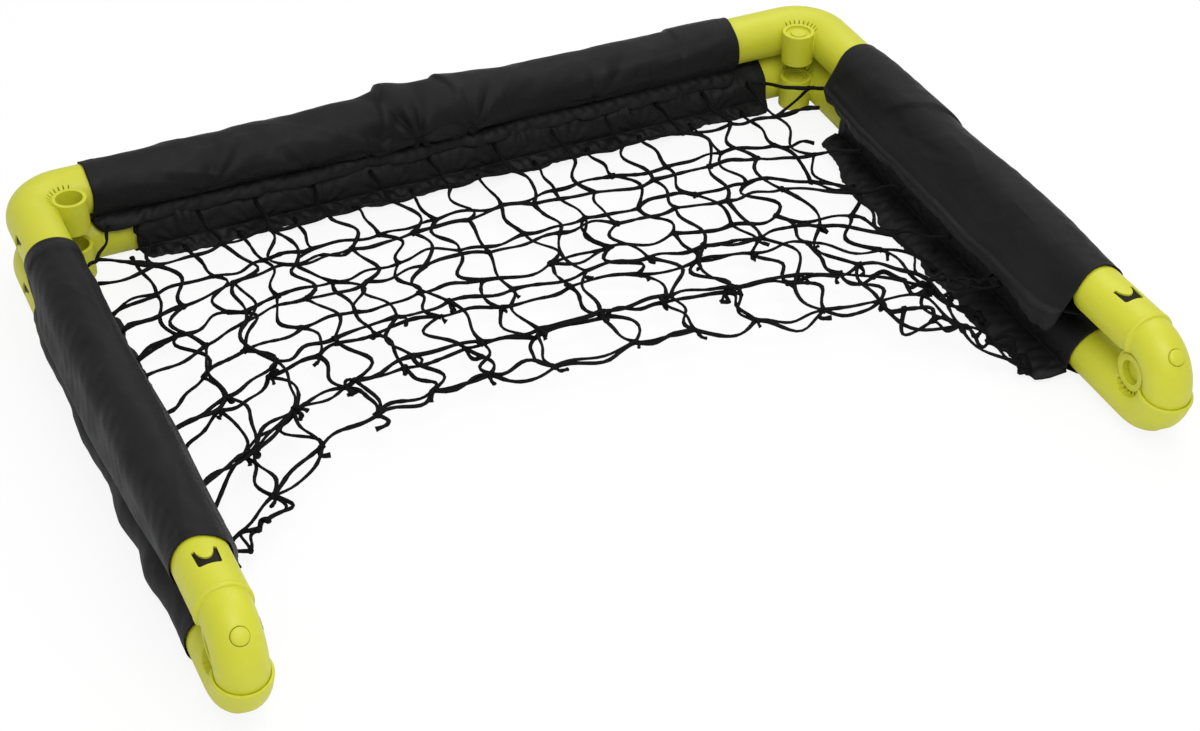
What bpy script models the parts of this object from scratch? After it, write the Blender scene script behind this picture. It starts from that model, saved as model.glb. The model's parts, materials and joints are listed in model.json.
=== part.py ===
"""Folding soccer goal for a small child, shown folded flat.

Two U-shaped frames of plastic tube lie on each other. The lower one is the base, the upper one is
the mouth of the goal. They are joined at the two front corners by plastic hinges, and the mouth
frame swings up about the X axis until it stands upright. Cloth sleeves cover the tubes, and one
rectangle of netting is laced between them.

All lengths are metres. X runs along the goal line, Y away from the person who takes the shot and
Z upwards. The floor is at Z = 0, and X = 0 and Y = 0 are the middle of the folded goal.
"""

import math

import bmesh
import bpy
import numpy as np
from mathutils import Matrix, Vector

# Frame
FRAME_WIDTH = 0.7376
FRAME_DEPTH = 0.5393
HINGE_SPACING = 0.0567
BACK_SPACING = 0.0452

# Tubes and plastic mouldings
TUBE_RADIUS = 0.0180
TUBE_WALL = 0.0018
SOCKET_RADIUS = 0.0212
SOCKET_BORE = 0.0183
SOCKET_END = 0.0740
TUBE_STOP = 0.0160
BEND_RADIUS = 0.0311
BEND_STEPS = 8
FIT_GAP = 0.0003
TUBE_SIDES = 18
ROUND_SIDES = 20
HINGE_SIDES = 32
CUTTER_PAST = 0.0100

# Round boss in the bend of each corner
BOSS_RADIUS = 0.0144
BOSS_HALF_HEIGHT = 0.0149
BOSS_HOLE_RADIUS = 0.0111
BOSS_HOLE_DEPTH = 0.0200
BOSS_DISH_DEPTH = 0.0030
BOSS_STUD_RADIUS = 0.0066
BOSS_STUD_DROP = 0.0012
BOSS_SIDES = 24
NOTCH_COUNT = 9
NOTCH_RADIUS = 0.0148
NOTCH_ARC = math.radians(118.0)
NOTCH_SIZE = (0.0030, 0.0011, 0.0060)

# Snap tongue that locks each tube in its socket
TONGUE_FROM_BEND = 0.0332
TONGUE_WIDTH = 0.0184
TONGUE_LENGTH = 0.0140
TONGUE_SLOT = 0.0042
SLOT_HEIGHT = SOCKET_RADIUS - 0.0025
SLOT_DEPTH = 0.0045

# Hinge
HINGE_REACH = HINGE_SPACING / 2
HOOD_RADIUS = 0.0190
CUP_BORE = 0.0194
CUP_LIP_ANGLE = 186.5
HOOD_END_ANGLE = 190.0
SWEEP_START_ANGLE = 174.0
SWEEP_END_ANGLE = 284.0
HINGE_PAST = 0.0400
HUB_HALF_WIDTH = 0.0060
HUB_SLOT = 0.0080
HUB_RADIUS = 0.0120
CHEEK_RADIUS = 0.0202
DISC_RADIUS = 0.0183
DISC_FACE = 0.0130
RING_FACE = 0.0143
RING_RADIUS = 0.0158
RING_BORE = 0.0100
RING_FLOOR = 0.0078
PIN_SIDES = 16
PIN_RADIUS = 0.0040
PIN_HEAD_RADIUS = 0.0096
PIN_HEAD_HEIGHT = 0.0015

# Spring button that locks the frame upright
BUTTON_ANGLE = 135.5
BUTTON_RADIUS = 0.0065
BUTTON_PROUD = 0.0009
BUTTON_HOLE = (0.0400, 0.0550)
WINDOW_RADIUS = BUTTON_RADIUS + 2 * FIT_GAP
WINDOW_SPAN = (0.0440, 0.0540)
GROOVE_ANGLES = (170.0, 227.5)
GROOVE_FAN = (0.0400, 0.0600)
GROOVE_FLOOR = 0.0206
GROOVE_STEPS = 12
BUTTON_FLANGE_RADIUS = 0.0080
BUTTON_FLANGE_TOP = 0.0430
BUTTON_FLANGE_HEIGHT = 0.0016
WELL_RADIUS = 0.0084
WELL_FLOOR = 0.0310
SPRING_RADIUS = 0.0050
SPRING_WIRE = 0.0009
SPRING_TURNS = 4
SPRING_POINTS = 8

# Cloth sleeves
SLEEVE_RADIUS = 0.0225
SLEEVE_BORE = 0.0216
SLEEVE_SIDES = 20
SLEEVE_FLAP = 0.0135
SLEEVE_HEM = 0.0012
SLEEVE_DROOP = 0.0040
SLEEVE_STATIONS = 10
SLEEVE_FOLD = 0.0014
CROSSBAR_SLEEVE = (-0.3172, 0.2820)
BACK_BAR_SLEEVE = (-0.2840, 0.3120)
POST_SLEEVE = {"left": (0.0530, 0.4460), "right": (0.0700, 0.4400)}
RAIL_SLEEVE = {"left": (0.0350, 0.4420), "right": (0.0630, 0.4380)}

# Net
NET_CELLS = (13, 10)
NET_CORD = 0.0026
NET_MARGIN = 0.0036
NET_CORNER = 0.0130
NET_FOLD_MIDDLE = 0.2120
NET_FOLD_SIDE = 0.0850
NET_FALL = 0.0040
NET_SLACK = 0.0050
NET_SEED = 5

HALF_WIDTH = FRAME_WIDTH / 2
FACET_HEIGHT = SLEEVE_RADIUS * math.cos(math.pi / SLEEVE_SIDES)
BASE_AXIS_Z = FACET_HEIGHT
PIVOT_Z = BASE_AXIS_Z + HINGE_REACH
REST_TILT = math.asin((HINGE_SPACING - BACK_SPACING) / FRAME_DEPTH)
FRONT_REACH = (HINGE_REACH + SOCKET_RADIUS) * math.cos(math.radians(CUP_LIP_ANGLE - 180.0))
PIVOT_Y = (FRONT_REACH - FRAME_DEPTH - SLEEVE_RADIUS - SLEEVE_FOLD) / 2

X_AXIS = Vector((1.0, 0.0, 0.0))
Z_AXIS = Vector((0.0, 0.0, 1.0))


def clear_scene():
    """Remove every object that a new Blender file starts with."""
    for obj in list(bpy.data.objects):
        bpy.data.objects.remove(obj)


def make_collection(name):
    """Link a new collection to the scene."""
    collection = bpy.data.collections.new(name)
    bpy.context.scene.collection.children.link(collection)
    return collection


clear_scene()
PARTS = make_collection("folding_soccer_goal")
CUTTERS = make_collection("cutters")


def make_material(name, colour, roughness, metallic=0.0):
    """A plain Principled material in the colour that the piece has."""
    material = bpy.data.materials.new(name)
    material.use_nodes = True
    shader = material.node_tree.nodes["Principled BSDF"]
    shader.inputs["Base Color"].default_value = (*colour, 1.0)
    shader.inputs["Roughness"].default_value = roughness
    shader.inputs["Metallic"].default_value = metallic
    return material


LIME_PLASTIC = make_material("lime_plastic", (0.58, 0.62, 0.05), 0.45)
TUBE_PLASTIC = make_material("tube_plastic", (0.03, 0.03, 0.03), 0.5)
SLEEVE_CLOTH = make_material("sleeve_cloth", (0.02, 0.02, 0.024), 0.7)
NET_TWINE = make_material("net_twine", (0.01, 0.01, 0.01), 0.8)
SPRING_STEEL = make_material("spring_steel", (0.6, 0.6, 0.6), 0.3, 1.0)


def new_object(name, mesh, collection=CUTTERS):
    """Put a mesh in the scene. Whatever isn't a finished part is a hidden cutter."""
    obj = bpy.data.objects.new(name, mesh)
    collection.objects.link(obj)
    if collection is CUTTERS:
        obj.hide_render = True
        obj.display_type = "WIRE"
    return obj


def from_bmesh(name, bm):
    """Turn a bmesh into a hidden object."""
    mesh = bpy.data.meshes.new(name)
    bm.to_mesh(mesh)
    bm.free()
    return new_object(name, mesh)


def cylinder(name, radius, start, end, sides=ROUND_SIDES):
    """A closed cylinder between two points."""
    start, end = Vector(start), Vector(end)
    along = end - start
    turn = Z_AXIS.rotation_difference(along).to_matrix().to_4x4()
    place = Matrix.Translation((start + end) / 2) @ turn
    bm = bmesh.new()
    bmesh.ops.create_cone(
        bm, cap_ends=True, segments=sides, radius1=radius, radius2=radius, depth=along.length,
        matrix=place)
    return from_bmesh(name, bm)


def evaluated_mesh(obj):
    """The mesh that an object has after its curve bevel or modifiers."""
    return bpy.data.meshes.new_from_object(obj.evaluated_get(bpy.context.evaluated_depsgraph_get()))


def from_curve(name, curve):
    """Turn a curve into a mesh whose end caps are welded on."""
    holder = bpy.data.objects.new(name, curve)
    CUTTERS.objects.link(holder)
    mesh = evaluated_mesh(holder)
    bpy.data.objects.remove(holder)
    bm = bmesh.new()
    bm.from_mesh(mesh)
    bmesh.ops.remove_doubles(bm, verts=bm.verts, dist=1e-6)
    bmesh.ops.recalc_face_normals(bm, faces=bm.faces)
    bpy.data.meshes.remove(mesh)
    return from_bmesh(name, bm)


def pipe(name, points, radius, resolution=(TUBE_SIDES - 4) // 2):
    """A solid round bar along a line of points, made as a bevelled curve and then a mesh."""
    curve = bpy.data.curves.new(name, "CURVE")
    curve.dimensions = "3D"
    curve.bevel_depth = radius
    curve.bevel_resolution = resolution
    curve.render_resolution_u = 0
    curve.use_fill_caps = True
    spline = curve.splines.new("POLY")
    spline.points.add(len(points) - 1)
    for point, place in zip(spline.points, points):
        point.co = (*place, 1.0)
    return from_curve(name, curve)


def arc(radius, start, end, steps):
    """Points on a circle about the X axis. Angles are degrees from +Y towards +Z."""
    angles = np.radians(np.linspace(start, end, steps + 1))
    return [Vector((0.0, radius * math.cos(a), radius * math.sin(a))) for a in angles]


def outline_prism(name, points, half_thickness):
    """A flat closed outline in the XY plane, thickened both ways along Z."""
    curve = bpy.data.curves.new(name, "CURVE")
    curve.dimensions = "2D"
    curve.fill_mode = "BOTH"
    curve.extrude = half_thickness
    curve.render_resolution_u = 0
    spline = curve.splines.new("POLY")
    spline.points.add(len(points) - 1)
    for point, place in zip(spline.points, points):
        point.co = (place[0], place[1], 0.0, 1.0)
    spline.use_cyclic_u = True
    return from_curve(name, curve)


def move_mesh(obj, matrix):
    """Change where an object's mesh lies, leaving the object itself where it is."""
    obj.data.transform(matrix)
    return obj


def combine(target, tool, operation):
    """Apply one Boolean to target and throw the tool away."""
    modifier = target.modifiers.new(operation.lower(), "BOOLEAN")
    modifier.operation = operation
    modifier.solver = "EXACT"
    modifier.object = tool
    mesh = evaluated_mesh(target)
    target.modifiers.remove(modifier)
    target.data = mesh
    bpy.data.objects.remove(tool)
    return target


def cut(target, *tools):
    """Take each tool out of target."""
    for tool in tools:
        combine(target, tool, "DIFFERENCE")
    return target


def join(target, *tools):
    """Fuse each tool to target."""
    for tool in tools:
        combine(target, tool, "UNION")
    return target


def clean_mesh(obj, distance=2e-6):
    """Merge points that a Boolean left almost on each other."""
    bm = bmesh.new()
    bm.from_mesh(obj.data)
    bmesh.ops.remove_doubles(bm, verts=bm.verts, dist=distance)
    bmesh.ops.dissolve_degenerate(bm, edges=bm.edges, dist=distance)
    bm.to_mesh(obj.data)
    bm.free()
    return obj


def finish_part(obj, name, material, parent=None, place=None):
    """Name a finished solid, give it its material and hang it on its frame."""
    CUTTERS.objects.unlink(obj)
    PARTS.objects.link(obj)
    obj.hide_render = False
    obj.display_type = "TEXTURED"
    obj.name = name
    obj.data.name = name
    obj.data.materials.clear()
    obj.data.materials.append(material)
    obj.data.shade_smooth()
    obj.data.set_sharp_from_angle(angle=math.radians(35.0))
    obj.parent = parent
    if place is not None:
        obj.matrix_local = place
    return obj


def copy_part(obj):
    """A second object with the same mesh."""
    return new_object(obj.name, obj.data.copy())


def make_empty(name, location, tilt=0.0):
    """An empty that carries one of the two frames."""
    empty = bpy.data.objects.new(name, None)
    empty.empty_display_size = 0.05
    empty.location = location
    empty.rotation_euler = (tilt, 0.0, 0.0)
    PARTS.objects.link(empty)
    return empty


def tongue_cutter(name):
    """U-shaped slot round a snap tongue, at the origin, with its arms along +Y and cutting along Z."""
    half = TONGUE_WIDTH / 2
    inner = half - TONGUE_SLOT
    low, high = -TONGUE_LENGTH / 2, TONGUE_LENGTH / 2
    points = [
        (-half, high), (-half + 0.0012, low + 0.002), (-half + 0.004, low), (half - 0.004, low),
        (half - 0.0012, low + 0.002), (half, high), (inner + 0.0012, high),
        (inner - 0.001, low + TONGUE_SLOT), (-inner + 0.001, low + TONGUE_SLOT), (-inner - 0.0012, high)]
    return outline_prism(name, points, SLOT_DEPTH)


def notch_cutter(name, face):
    """Short radial notches round the boss, on the side of the bend, in a face at this height."""
    middle = math.pi / 4
    bm = bmesh.new()
    for angle in np.linspace(middle - NOTCH_ARC / 2, middle + NOTCH_ARC / 2, NOTCH_COUNT):
        turn = Matrix.Rotation(angle, 4, "Z")
        place = turn @ Matrix.Translation((NOTCH_RADIUS + NOTCH_SIZE[0] / 2, 0.0, face))
        bmesh.ops.create_cube(bm, size=1.0, matrix=place @ Matrix.Diagonal((*NOTCH_SIZE, 1.0)))
    return from_bmesh(name, bm)


def make_elbow():
    """Corner moulding. Its boss is on the Z axis, and its sockets run along -X and -Y."""
    mouth = -SOCKET_END
    bend = [Vector((mouth, BEND_RADIUS, 0.0))]
    for angle in np.radians(np.linspace(90.0, 0.0, BEND_STEPS)):
        bend.append(Vector((BEND_RADIUS * math.cos(angle), BEND_RADIUS * math.sin(angle), 0.0)))
    bend.append(Vector((BEND_RADIUS, mouth, 0.0)))
    elbow = pipe("elbow", bend, SOCKET_RADIUS)
    top, bottom = Z_AXIS * BOSS_HALF_HEIGHT, -Z_AXIS * BOSS_HALF_HEIGHT
    join(elbow, cylinder("boss", BOSS_RADIUS, bottom, top, BOSS_SIDES))
    past = mouth - CUTTER_PAST
    hole_floor = bottom + Z_AXIS * BOSS_HOLE_DEPTH
    cut(
        elbow,
        cylinder("bore_x", SOCKET_BORE, (-TUBE_STOP, BEND_RADIUS, 0), (past, BEND_RADIUS, 0), TUBE_SIDES),
        cylinder("bore_y", SOCKET_BORE, (BEND_RADIUS, -TUBE_STOP, 0), (BEND_RADIUS, past, 0), TUBE_SIDES),
        cylinder("hole", BOSS_HOLE_RADIUS, bottom * 1.2, hole_floor, BOSS_SIDES),
        dish_cutter(),
        notch_cutter("notch_top", BOSS_HALF_HEIGHT),
        notch_cutter("notch_bottom", -BOSS_HALF_HEIGHT))
    outside = Matrix.Translation((-TONGUE_FROM_BEND, BEND_RADIUS + SLOT_HEIGHT, 0.0))
    quarter = Matrix.Rotation(math.pi / 2, 4, "Z") @ Matrix.Rotation(math.pi / 2, 4, "Y")
    mirror = Matrix(((0, 1, 0, 0), (1, 0, 0, 0), (0, 0, 1, 0), (0, 0, 0, 1)))
    for side in (Matrix.Identity(4), mirror):
        slot = move_mesh(tongue_cutter("tongue"), side @ outside @ quarter)
        if side.determinant() < 0:
            slot.data.flip_normals()
        cut(elbow, slot)
    return clean_mesh(elbow)


def dish_cutter():
    """Ring-shaped recess that leaves a low stud in the middle of the boss's closed face."""
    top = Z_AXIS * BOSS_HALF_HEIGHT
    floor = top - Z_AXIS * BOSS_DISH_DEPTH
    dish = cylinder("dish", BOSS_HOLE_RADIUS, floor, top * 1.2, BOSS_SIDES)
    stud_foot = floor - Z_AXIS * 0.001
    stud = cylinder("stud", BOSS_STUD_RADIUS, stud_foot, top - Z_AXIS * BOSS_STUD_DROP, BOSS_SIDES)
    return cut(dish, stud)


def hinge_cylinder(name, radius, inner, outer, sides=HINGE_SIDES):
    """A cylinder about the hinge's X axis, between two distances from the middle plane."""
    return cylinder(name, radius, X_AXIS * inner, X_AXIS * outer, sides)


def make_post_hinge():
    """Upper half of a hinge: socket, curved hood and hub, with the pivot at the origin along X."""
    straight = [Vector((0, SOCKET_END, HINGE_REACH)), Vector((0, 0.0010, HINGE_REACH))]
    knuckle = pipe("post_hinge", straight, SOCKET_RADIUS)
    hood = pipe("hood", arc(HINGE_REACH, 80.0, HOOD_END_ANGLE, 9), HOOD_RADIUS)
    join(knuckle, hood, hinge_cylinder("hub", HUB_RADIUS, -HUB_HALF_WIDTH, HUB_HALF_WIDTH))
    for side in (-1.0, 1.0):
        cut(knuckle, hinge_cylinder(
            "pocket", CHEEK_RADIUS + FIT_GAP, side * HUB_HALF_WIDTH, side * HINGE_PAST))
    out = button_direction()
    bore_end = SOCKET_END + CUTTER_PAST
    cut(
        knuckle,
        cylinder("bore", SOCKET_BORE, (0, TUBE_STOP, HINGE_REACH), (0, bore_end, HINGE_REACH), TUBE_SIDES),
        hinge_cylinder("pin_bore", PIN_RADIUS + FIT_GAP, -HINGE_PAST, HINGE_PAST, PIN_SIDES),
        cylinder("well", WELL_RADIUS, out * WELL_FLOOR, out * (BUTTON_FLANGE_TOP + FIT_GAP)),
        cylinder("button_hole", BUTTON_RADIUS + FIT_GAP, out * BUTTON_HOLE[0], out * BUTTON_HOLE[1]))
    slot_place = Matrix.Translation((0.0, TONGUE_FROM_BEND, HINGE_REACH + SLOT_HEIGHT))
    cut(knuckle, move_mesh(tongue_cutter("tongue"), slot_place))
    return clean_mesh(knuckle)


def button_direction(extra=0.0):
    """Unit vector from the pivot through the lock button."""
    angle = math.radians(BUTTON_ANGLE + extra)
    return Vector((0.0, math.cos(angle), math.sin(angle)))


def make_base_hinge():
    """Lower half of a hinge: socket, cup and the two cheeks that hold the pin."""
    path = [Vector((0, SOCKET_END, -HINGE_REACH))] + arc(HINGE_REACH, 270.0, CUP_LIP_ANGLE, 7)
    knuckle = pipe("base_hinge", path, SOCKET_RADIUS)
    window = button_direction(90.0)
    cut(
        knuckle,
        button_groove(),
        cylinder("window", WINDOW_RADIUS, window * WINDOW_SPAN[0], window * WINDOW_SPAN[1]))
    disc_edge = RING_FACE + 0.002
    join(knuckle, hinge_cylinder("discs", DISC_RADIUS, -disc_edge, disc_edge))
    for side in (-1.0, 1.0):
        cut(knuckle, cheek_cutter(side))
    bore_end = SOCKET_END + CUTTER_PAST
    cut(
        knuckle,
        sweep_cutter(),
        cylinder(
            "bore", SOCKET_BORE, (0, TUBE_STOP, -HINGE_REACH), (0, bore_end, -HINGE_REACH), TUBE_SIDES),
        hinge_cylinder("pin_bore", PIN_RADIUS + FIT_GAP, -HINGE_PAST, HINGE_PAST, PIN_SIDES))
    slot_place = Matrix.Translation((0.0, TONGUE_FROM_BEND, -HINGE_REACH - SLOT_HEIGHT))
    cut(knuckle, move_mesh(tongue_cutter("tongue"), slot_place))
    return clean_mesh(knuckle)


def cheek_cutter(side):
    """What is taken off a cheek: a round recess that leaves a raised ring with a bore in it."""
    recess = hinge_cylinder("recess", DISC_RADIUS + 0.0002, side * DISC_FACE, side * HINGE_PAST)
    cut(recess, hinge_cylinder("ring", RING_RADIUS, side * RING_BORE, side * RING_FACE))
    bore_out = HINGE_PAST - 0.001
    return join(recess, hinge_cylinder("ring_bore", RING_BORE, side * RING_FLOOR, side * bore_out, 24))


def sweep_cutter():
    """Room for the hood and the hub of the upper half, everywhere that they turn."""
    sweep = pipe("sweep", arc(HINGE_REACH, SWEEP_START_ANGLE, SWEEP_END_ANGLE, 10), CUP_BORE)
    join(sweep, hinge_cylinder("hub_slot", DISC_RADIUS + 0.0004, -HUB_SLOT, HUB_SLOT))
    inner = HUB_HALF_WIDTH + FIT_GAP
    for side in (-1.0, 1.0):
        cut(sweep, hinge_cylinder("cheek", CHEEK_RADIUS, side * inner, side * HINGE_PAST))
    return sweep


def button_groove():
    """Groove in the cup's wall that the lock button runs along, from the lip to its window."""
    start, end = GROOVE_ANGLES
    angles = np.radians(np.linspace(start, end, 7))
    outline = [(GROOVE_FAN[1] * math.cos(a), GROOVE_FAN[1] * math.sin(a)) for a in angles]
    outline += [(GROOVE_FAN[0] * math.cos(a), GROOVE_FAN[0] * math.sin(a)) for a in reversed(angles)]
    fan = outline_prism("fan", outline, BUTTON_RADIUS + FIT_GAP)
    move_mesh(fan, Matrix(((0, 0, 1, 0), (1, 0, 0, 0), (0, 1, 0, 0), (0, 0, 0, 1))))
    groove = pipe("groove", arc(HINGE_REACH, start - 4.0, end + 6.0, GROOVE_STEPS), GROOVE_FLOOR)
    return combine(groove, fan, "INTERSECT")


def make_pin():
    """Hinge pin with a flat head sunk in each cheek."""
    shaft_end = RING_FLOOR + 0.001
    shaft = hinge_cylinder("hinge_pin", PIN_RADIUS, -shaft_end, shaft_end, PIN_SIDES)
    for side in (-1.0, 1.0):
        start = side * (RING_FLOOR + FIT_GAP)
        end = start + side * PIN_HEAD_HEIGHT
        join(shaft, hinge_cylinder("head", PIN_HEAD_RADIUS, start, end, ROUND_SIDES))
    return shaft


def make_button():
    """Lock button: a turned profile with a retaining flange, standing on its push axis."""
    top = HINGE_REACH + HOOD_RADIUS + BUTTON_PROUD
    flange_base = BUTTON_FLANGE_TOP - BUTTON_FLANGE_HEIGHT
    profile = [
        (0.0, top), (0.0040, top - 0.0001), (0.0058, top - 0.0005), (BUTTON_RADIUS, top - 0.0012),
        (BUTTON_RADIUS, BUTTON_FLANGE_TOP), (BUTTON_FLANGE_RADIUS, BUTTON_FLANGE_TOP),
        (BUTTON_FLANGE_RADIUS, flange_base), (0.0, flange_base)]
    mesh = bpy.data.meshes.new("button")
    mesh.from_pydata([(x, 0.0, z) for x, z in profile], [(i, i + 1) for i in range(len(profile) - 1)], [])
    button = new_object("button", mesh)
    screw = button.modifiers.new("turn", "SCREW")
    screw.steps = ROUND_SIDES
    screw.render_steps = ROUND_SIDES
    screw.use_merge_vertices = True
    screw.merge_threshold = 1e-5
    solid = evaluated_mesh(button)
    button.modifiers.clear()
    button.data = solid
    return clean_mesh(button)


def make_spring():
    """Compression spring under the lock button, from the well's floor to the flange."""
    low = WELL_FLOOR + FIT_GAP + SPRING_WIRE / 2
    high = BUTTON_FLANGE_TOP - BUTTON_FLANGE_HEIGHT - FIT_GAP - SPRING_WIRE / 2
    steps = SPRING_TURNS * SPRING_POINTS
    points = []
    for step in range(steps + 1):
        angle = 2 * math.pi * SPRING_TURNS * step / steps
        height = low + (high - low) * step / steps
        points.append(Vector((SPRING_RADIUS * math.cos(angle), SPRING_RADIUS * math.sin(angle), height)))
    gap = (high - low) / SPRING_TURNS - SPRING_WIRE
    print(f"lock spring: least gap between turns {gap * 1000:.2f} mm")
    return pipe("spring", points, SPRING_WIRE / 2, 0)


def make_tube(start, end):
    """A plain round tube between two points."""
    start, end = Vector(start), Vector(end)
    past = (end - start).normalized() * CUTTER_PAST
    tube = cylinder("tube", TUBE_RADIUS, start, end, TUBE_SIDES)
    bore = cylinder("tube_bore", TUBE_RADIUS - TUBE_WALL, start - past, end + past, TUBE_SIDES)
    return cut(tube, bore)


def make_sleeve(length, flap_droop, on_top, seed):
    """Cloth sleeve along +Z from the origin, with its laced flap towards -X.

    The section is a circle of flat facets with one pair of points drawn out into the flap. Shallow
    folds push the cloth outwards, but not on the facet that lies on the floor (-Y). On the base's
    sleeves, which carry the mouth's sleeves, the top is left flat too.
    """
    phase = np.random.default_rng(seed).uniform(0.0, 2 * math.pi, 4)
    angles = (np.arange(SLEEVE_SIDES) + 0.5) * 2 * math.pi / SLEEVE_SIDES
    stations = np.linspace(0.0, 1.0, SLEEVE_STATIONS)
    flap_at = SLEEVE_SIDES // 2 - 1
    bm = bmesh.new()
    outer, inner = [], []
    for s in stations:
        wave = (
            np.sin(3 * angles + phase[0] + 7.0 * s) + np.sin(2 * angles + phase[1] - 17.0 * s)
            + np.sin(31.0 * s + phase[2]))
        height = np.sin(angles)
        free = np.clip(height + 0.6 if on_top else 0.9 - np.abs(height), 0.0, 1.0)
        swell = SLEEVE_FOLD * (0.5 + wave / 6.0) * free
        swell *= math.sin(math.pi * min(max(s, 0.02), 0.98)) ** 0.4
        radii = SLEEVE_RADIUS + swell
        ring = []
        for index, (angle, radius) in enumerate(zip(angles, radii)):
            ring.append(bm.verts.new((radius * math.cos(angle), radius * math.sin(angle), s * length)))
            if index == flap_at:
                reach = SLEEVE_RADIUS + SLEEVE_FLAP + 0.0012 * math.sin(23.0 * s + phase[3])
                for lift in (SLEEVE_HEM / 2, -SLEEVE_HEM / 2):
                    ring.append(bm.verts.new((-reach, flap_droop + lift, s * length)))
        outer.append(ring)
        inner.append([
            bm.verts.new((SLEEVE_BORE * math.cos(a), SLEEVE_BORE * math.sin(a), s * length))
            for a in angles])
    for rings in (outer, inner):
        count = len(rings[0])
        for first, second in zip(rings, rings[1:]):
            for i in range(count):
                j = (i + 1) % count
                bm.faces.new((first[i], first[j], second[j], second[i]))
    for ring_outer, ring_inner in ((outer[0], inner[0]), (outer[-1], inner[-1])):
        close_sleeve_end(bm, ring_outer, ring_inner, flap_at)
    bmesh.ops.recalc_face_normals(bm, faces=bm.faces)
    return from_bmesh("sleeve", bm)


def close_sleeve_end(bm, outer, inner, flap_at):
    """Fill the ring of cloth between the outer and inner outlines at one end of a sleeve."""
    count = len(inner)
    for i in range(count):
        j = (i + 1) % count
        first = i if i <= flap_at else i + 2
        second = j if j <= flap_at else j + 2
        bm.faces.new((outer[first], outer[second], inner[j], inner[i]))
        if i == flap_at:
            bm.faces.new((outer[first], outer[first + 1], outer[first + 2], outer[second]))


def make_net(back_y, side_x, low_z, high_z_front, high_z_back):
    """Folded netting: lower sheet, fold along the front and upper sheet, as one knotted grid.

    A point of the net has u across it, from -1 to 1, and v from the back bar round the fold to the
    crossbar. The fold line is a flattened arch in plan, and the sheets rise evenly from the base
    frame to the mouth frame. The four corners are drawn in, to pass the bosses, and the knots
    between the edges lie a little out of line, as slack twine does.
    """
    across, rows = NET_CELLS
    u = np.linspace(-1.0, 1.0, across + 1)[None, :]
    v = np.linspace(0.0, 1.0, rows + 1)[:, None]
    fold = NET_FOLD_SIDE + (NET_FOLD_MIDDLE - NET_FOLD_SIDE) * (1.0 - np.abs(u) ** 3.0)
    run = 1.0 - np.abs(2.0 * v - 1.0)
    y = back_y - (back_y - fold) * np.sin(run * math.pi / 2) ** 0.9
    steep = 1.4 + 5.0 * np.abs(u) ** 4
    rise = 0.5 * run ** steep
    share = np.where(v < 0.5, rise, 1.0 - rise)
    top = high_z_front + (high_z_back - high_z_front) * y / back_y
    z = low_z + (top - low_z) * share
    corner = NET_CORNER * np.abs(u) ** 8 * (1.0 - run) ** 4
    slack = np.random.default_rng(NET_SEED).uniform(-NET_SLACK, NET_SLACK, (2, rows + 1, across + 1))
    slack *= np.clip((1.0 - np.abs(u)) * NET_CELLS[0] / 2, 0.0, 1.0) * np.clip(run * rows / 2, 0.0, 1.0)
    x = side_x * u - np.sign(u) * corner + slack[0]
    y = y - corner + slack[1]
    bm = bmesh.new()
    grid = [[bm.verts.new((x[i, j], y[i, j], z[i, j])) for j in range(across + 1)] for i in range(rows + 1)]
    for i in range(rows):
        for j in range(across):
            bm.faces.new((grid[i][j], grid[i][j + 1], grid[i + 1][j + 1], grid[i + 1][j]))
    net = from_bmesh("net", bm)
    wire = net.modifiers.new("twine", "WIREFRAME")
    wire.thickness = NET_CORD
    wire.use_even_offset = True
    wire.use_boundary = True
    wire.use_replace = True
    return net


def build_frame(prefixes, empty, axis_z, sleeve_spans, on_top, seeds):
    """One U-shaped frame: back tube, two side tubes, two elbows and three sleeves."""
    back_name, side_name, elbow_name = prefixes
    droop = -SLEEVE_DROOP if on_top else SLEEVE_DROOP
    tube_inset = BEND_RADIUS + TUBE_STOP + FIT_GAP
    elbow = make_elbow()
    for side, sign in (("left", -1.0), ("right", 1.0)):
        spot = Matrix.Translation((
            sign * (HALF_WIDTH - BEND_RADIUS), FRAME_DEPTH - BEND_RADIUS, axis_z))
        turn = Matrix.Identity(4) if sign > 0 else Matrix.Rotation(math.pi, 4, "Y")
        finish_part(copy_part(elbow), f"{elbow_name}_{side}", LIME_PLASTIC, empty, spot @ turn)
        tube = make_tube(
            (0.0, 0.0, 0.0), (0.0, FRAME_DEPTH - tube_inset - TUBE_STOP - FIT_GAP, 0.0))
        finish_part(
            tube, f"{side_name}_tube_{side}", TUBE_PLASTIC, empty,
            Matrix.Translation((sign * HALF_WIDTH, TUBE_STOP + FIT_GAP, axis_z)))
        start, end = sleeve_spans[1][side]
        sleeve = make_sleeve(end - start, droop, on_top, seeds[1] + int(sign))
        turn = Matrix(((sign, 0, 0, 0), (0, 0, 1, 0), (0, 1, 0, 0), (0, 0, 0, 1)))
        move_mesh(sleeve, turn)
        if turn.determinant() < 0:
            sleeve.data.flip_normals()
        finish_part(
            sleeve, f"{side_name}_sleeve_{side}", SLEEVE_CLOTH, empty,
            Matrix.Translation((sign * HALF_WIDTH, start, axis_z)))
    bpy.data.objects.remove(elbow)
    back = make_tube((-HALF_WIDTH + tube_inset, 0.0, 0.0), (HALF_WIDTH - tube_inset, 0.0, 0.0))
    finish_part(
        back, f"{back_name}_tube", TUBE_PLASTIC, empty, Matrix.Translation((0.0, FRAME_DEPTH, axis_z)))
    start, end = sleeve_spans[0]
    sleeve = make_sleeve(end - start, droop, on_top, seeds[0])
    turn = Matrix(((0, 0, 1, 0), (1, 0, 0, 0), (0, 1, 0, 0), (0, 0, 0, 1)))
    move_mesh(sleeve, turn)
    finish_part(
        sleeve, f"{back_name}_sleeve", SLEEVE_CLOTH, empty,
        Matrix.Translation((start, FRAME_DEPTH, axis_z)))


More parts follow.
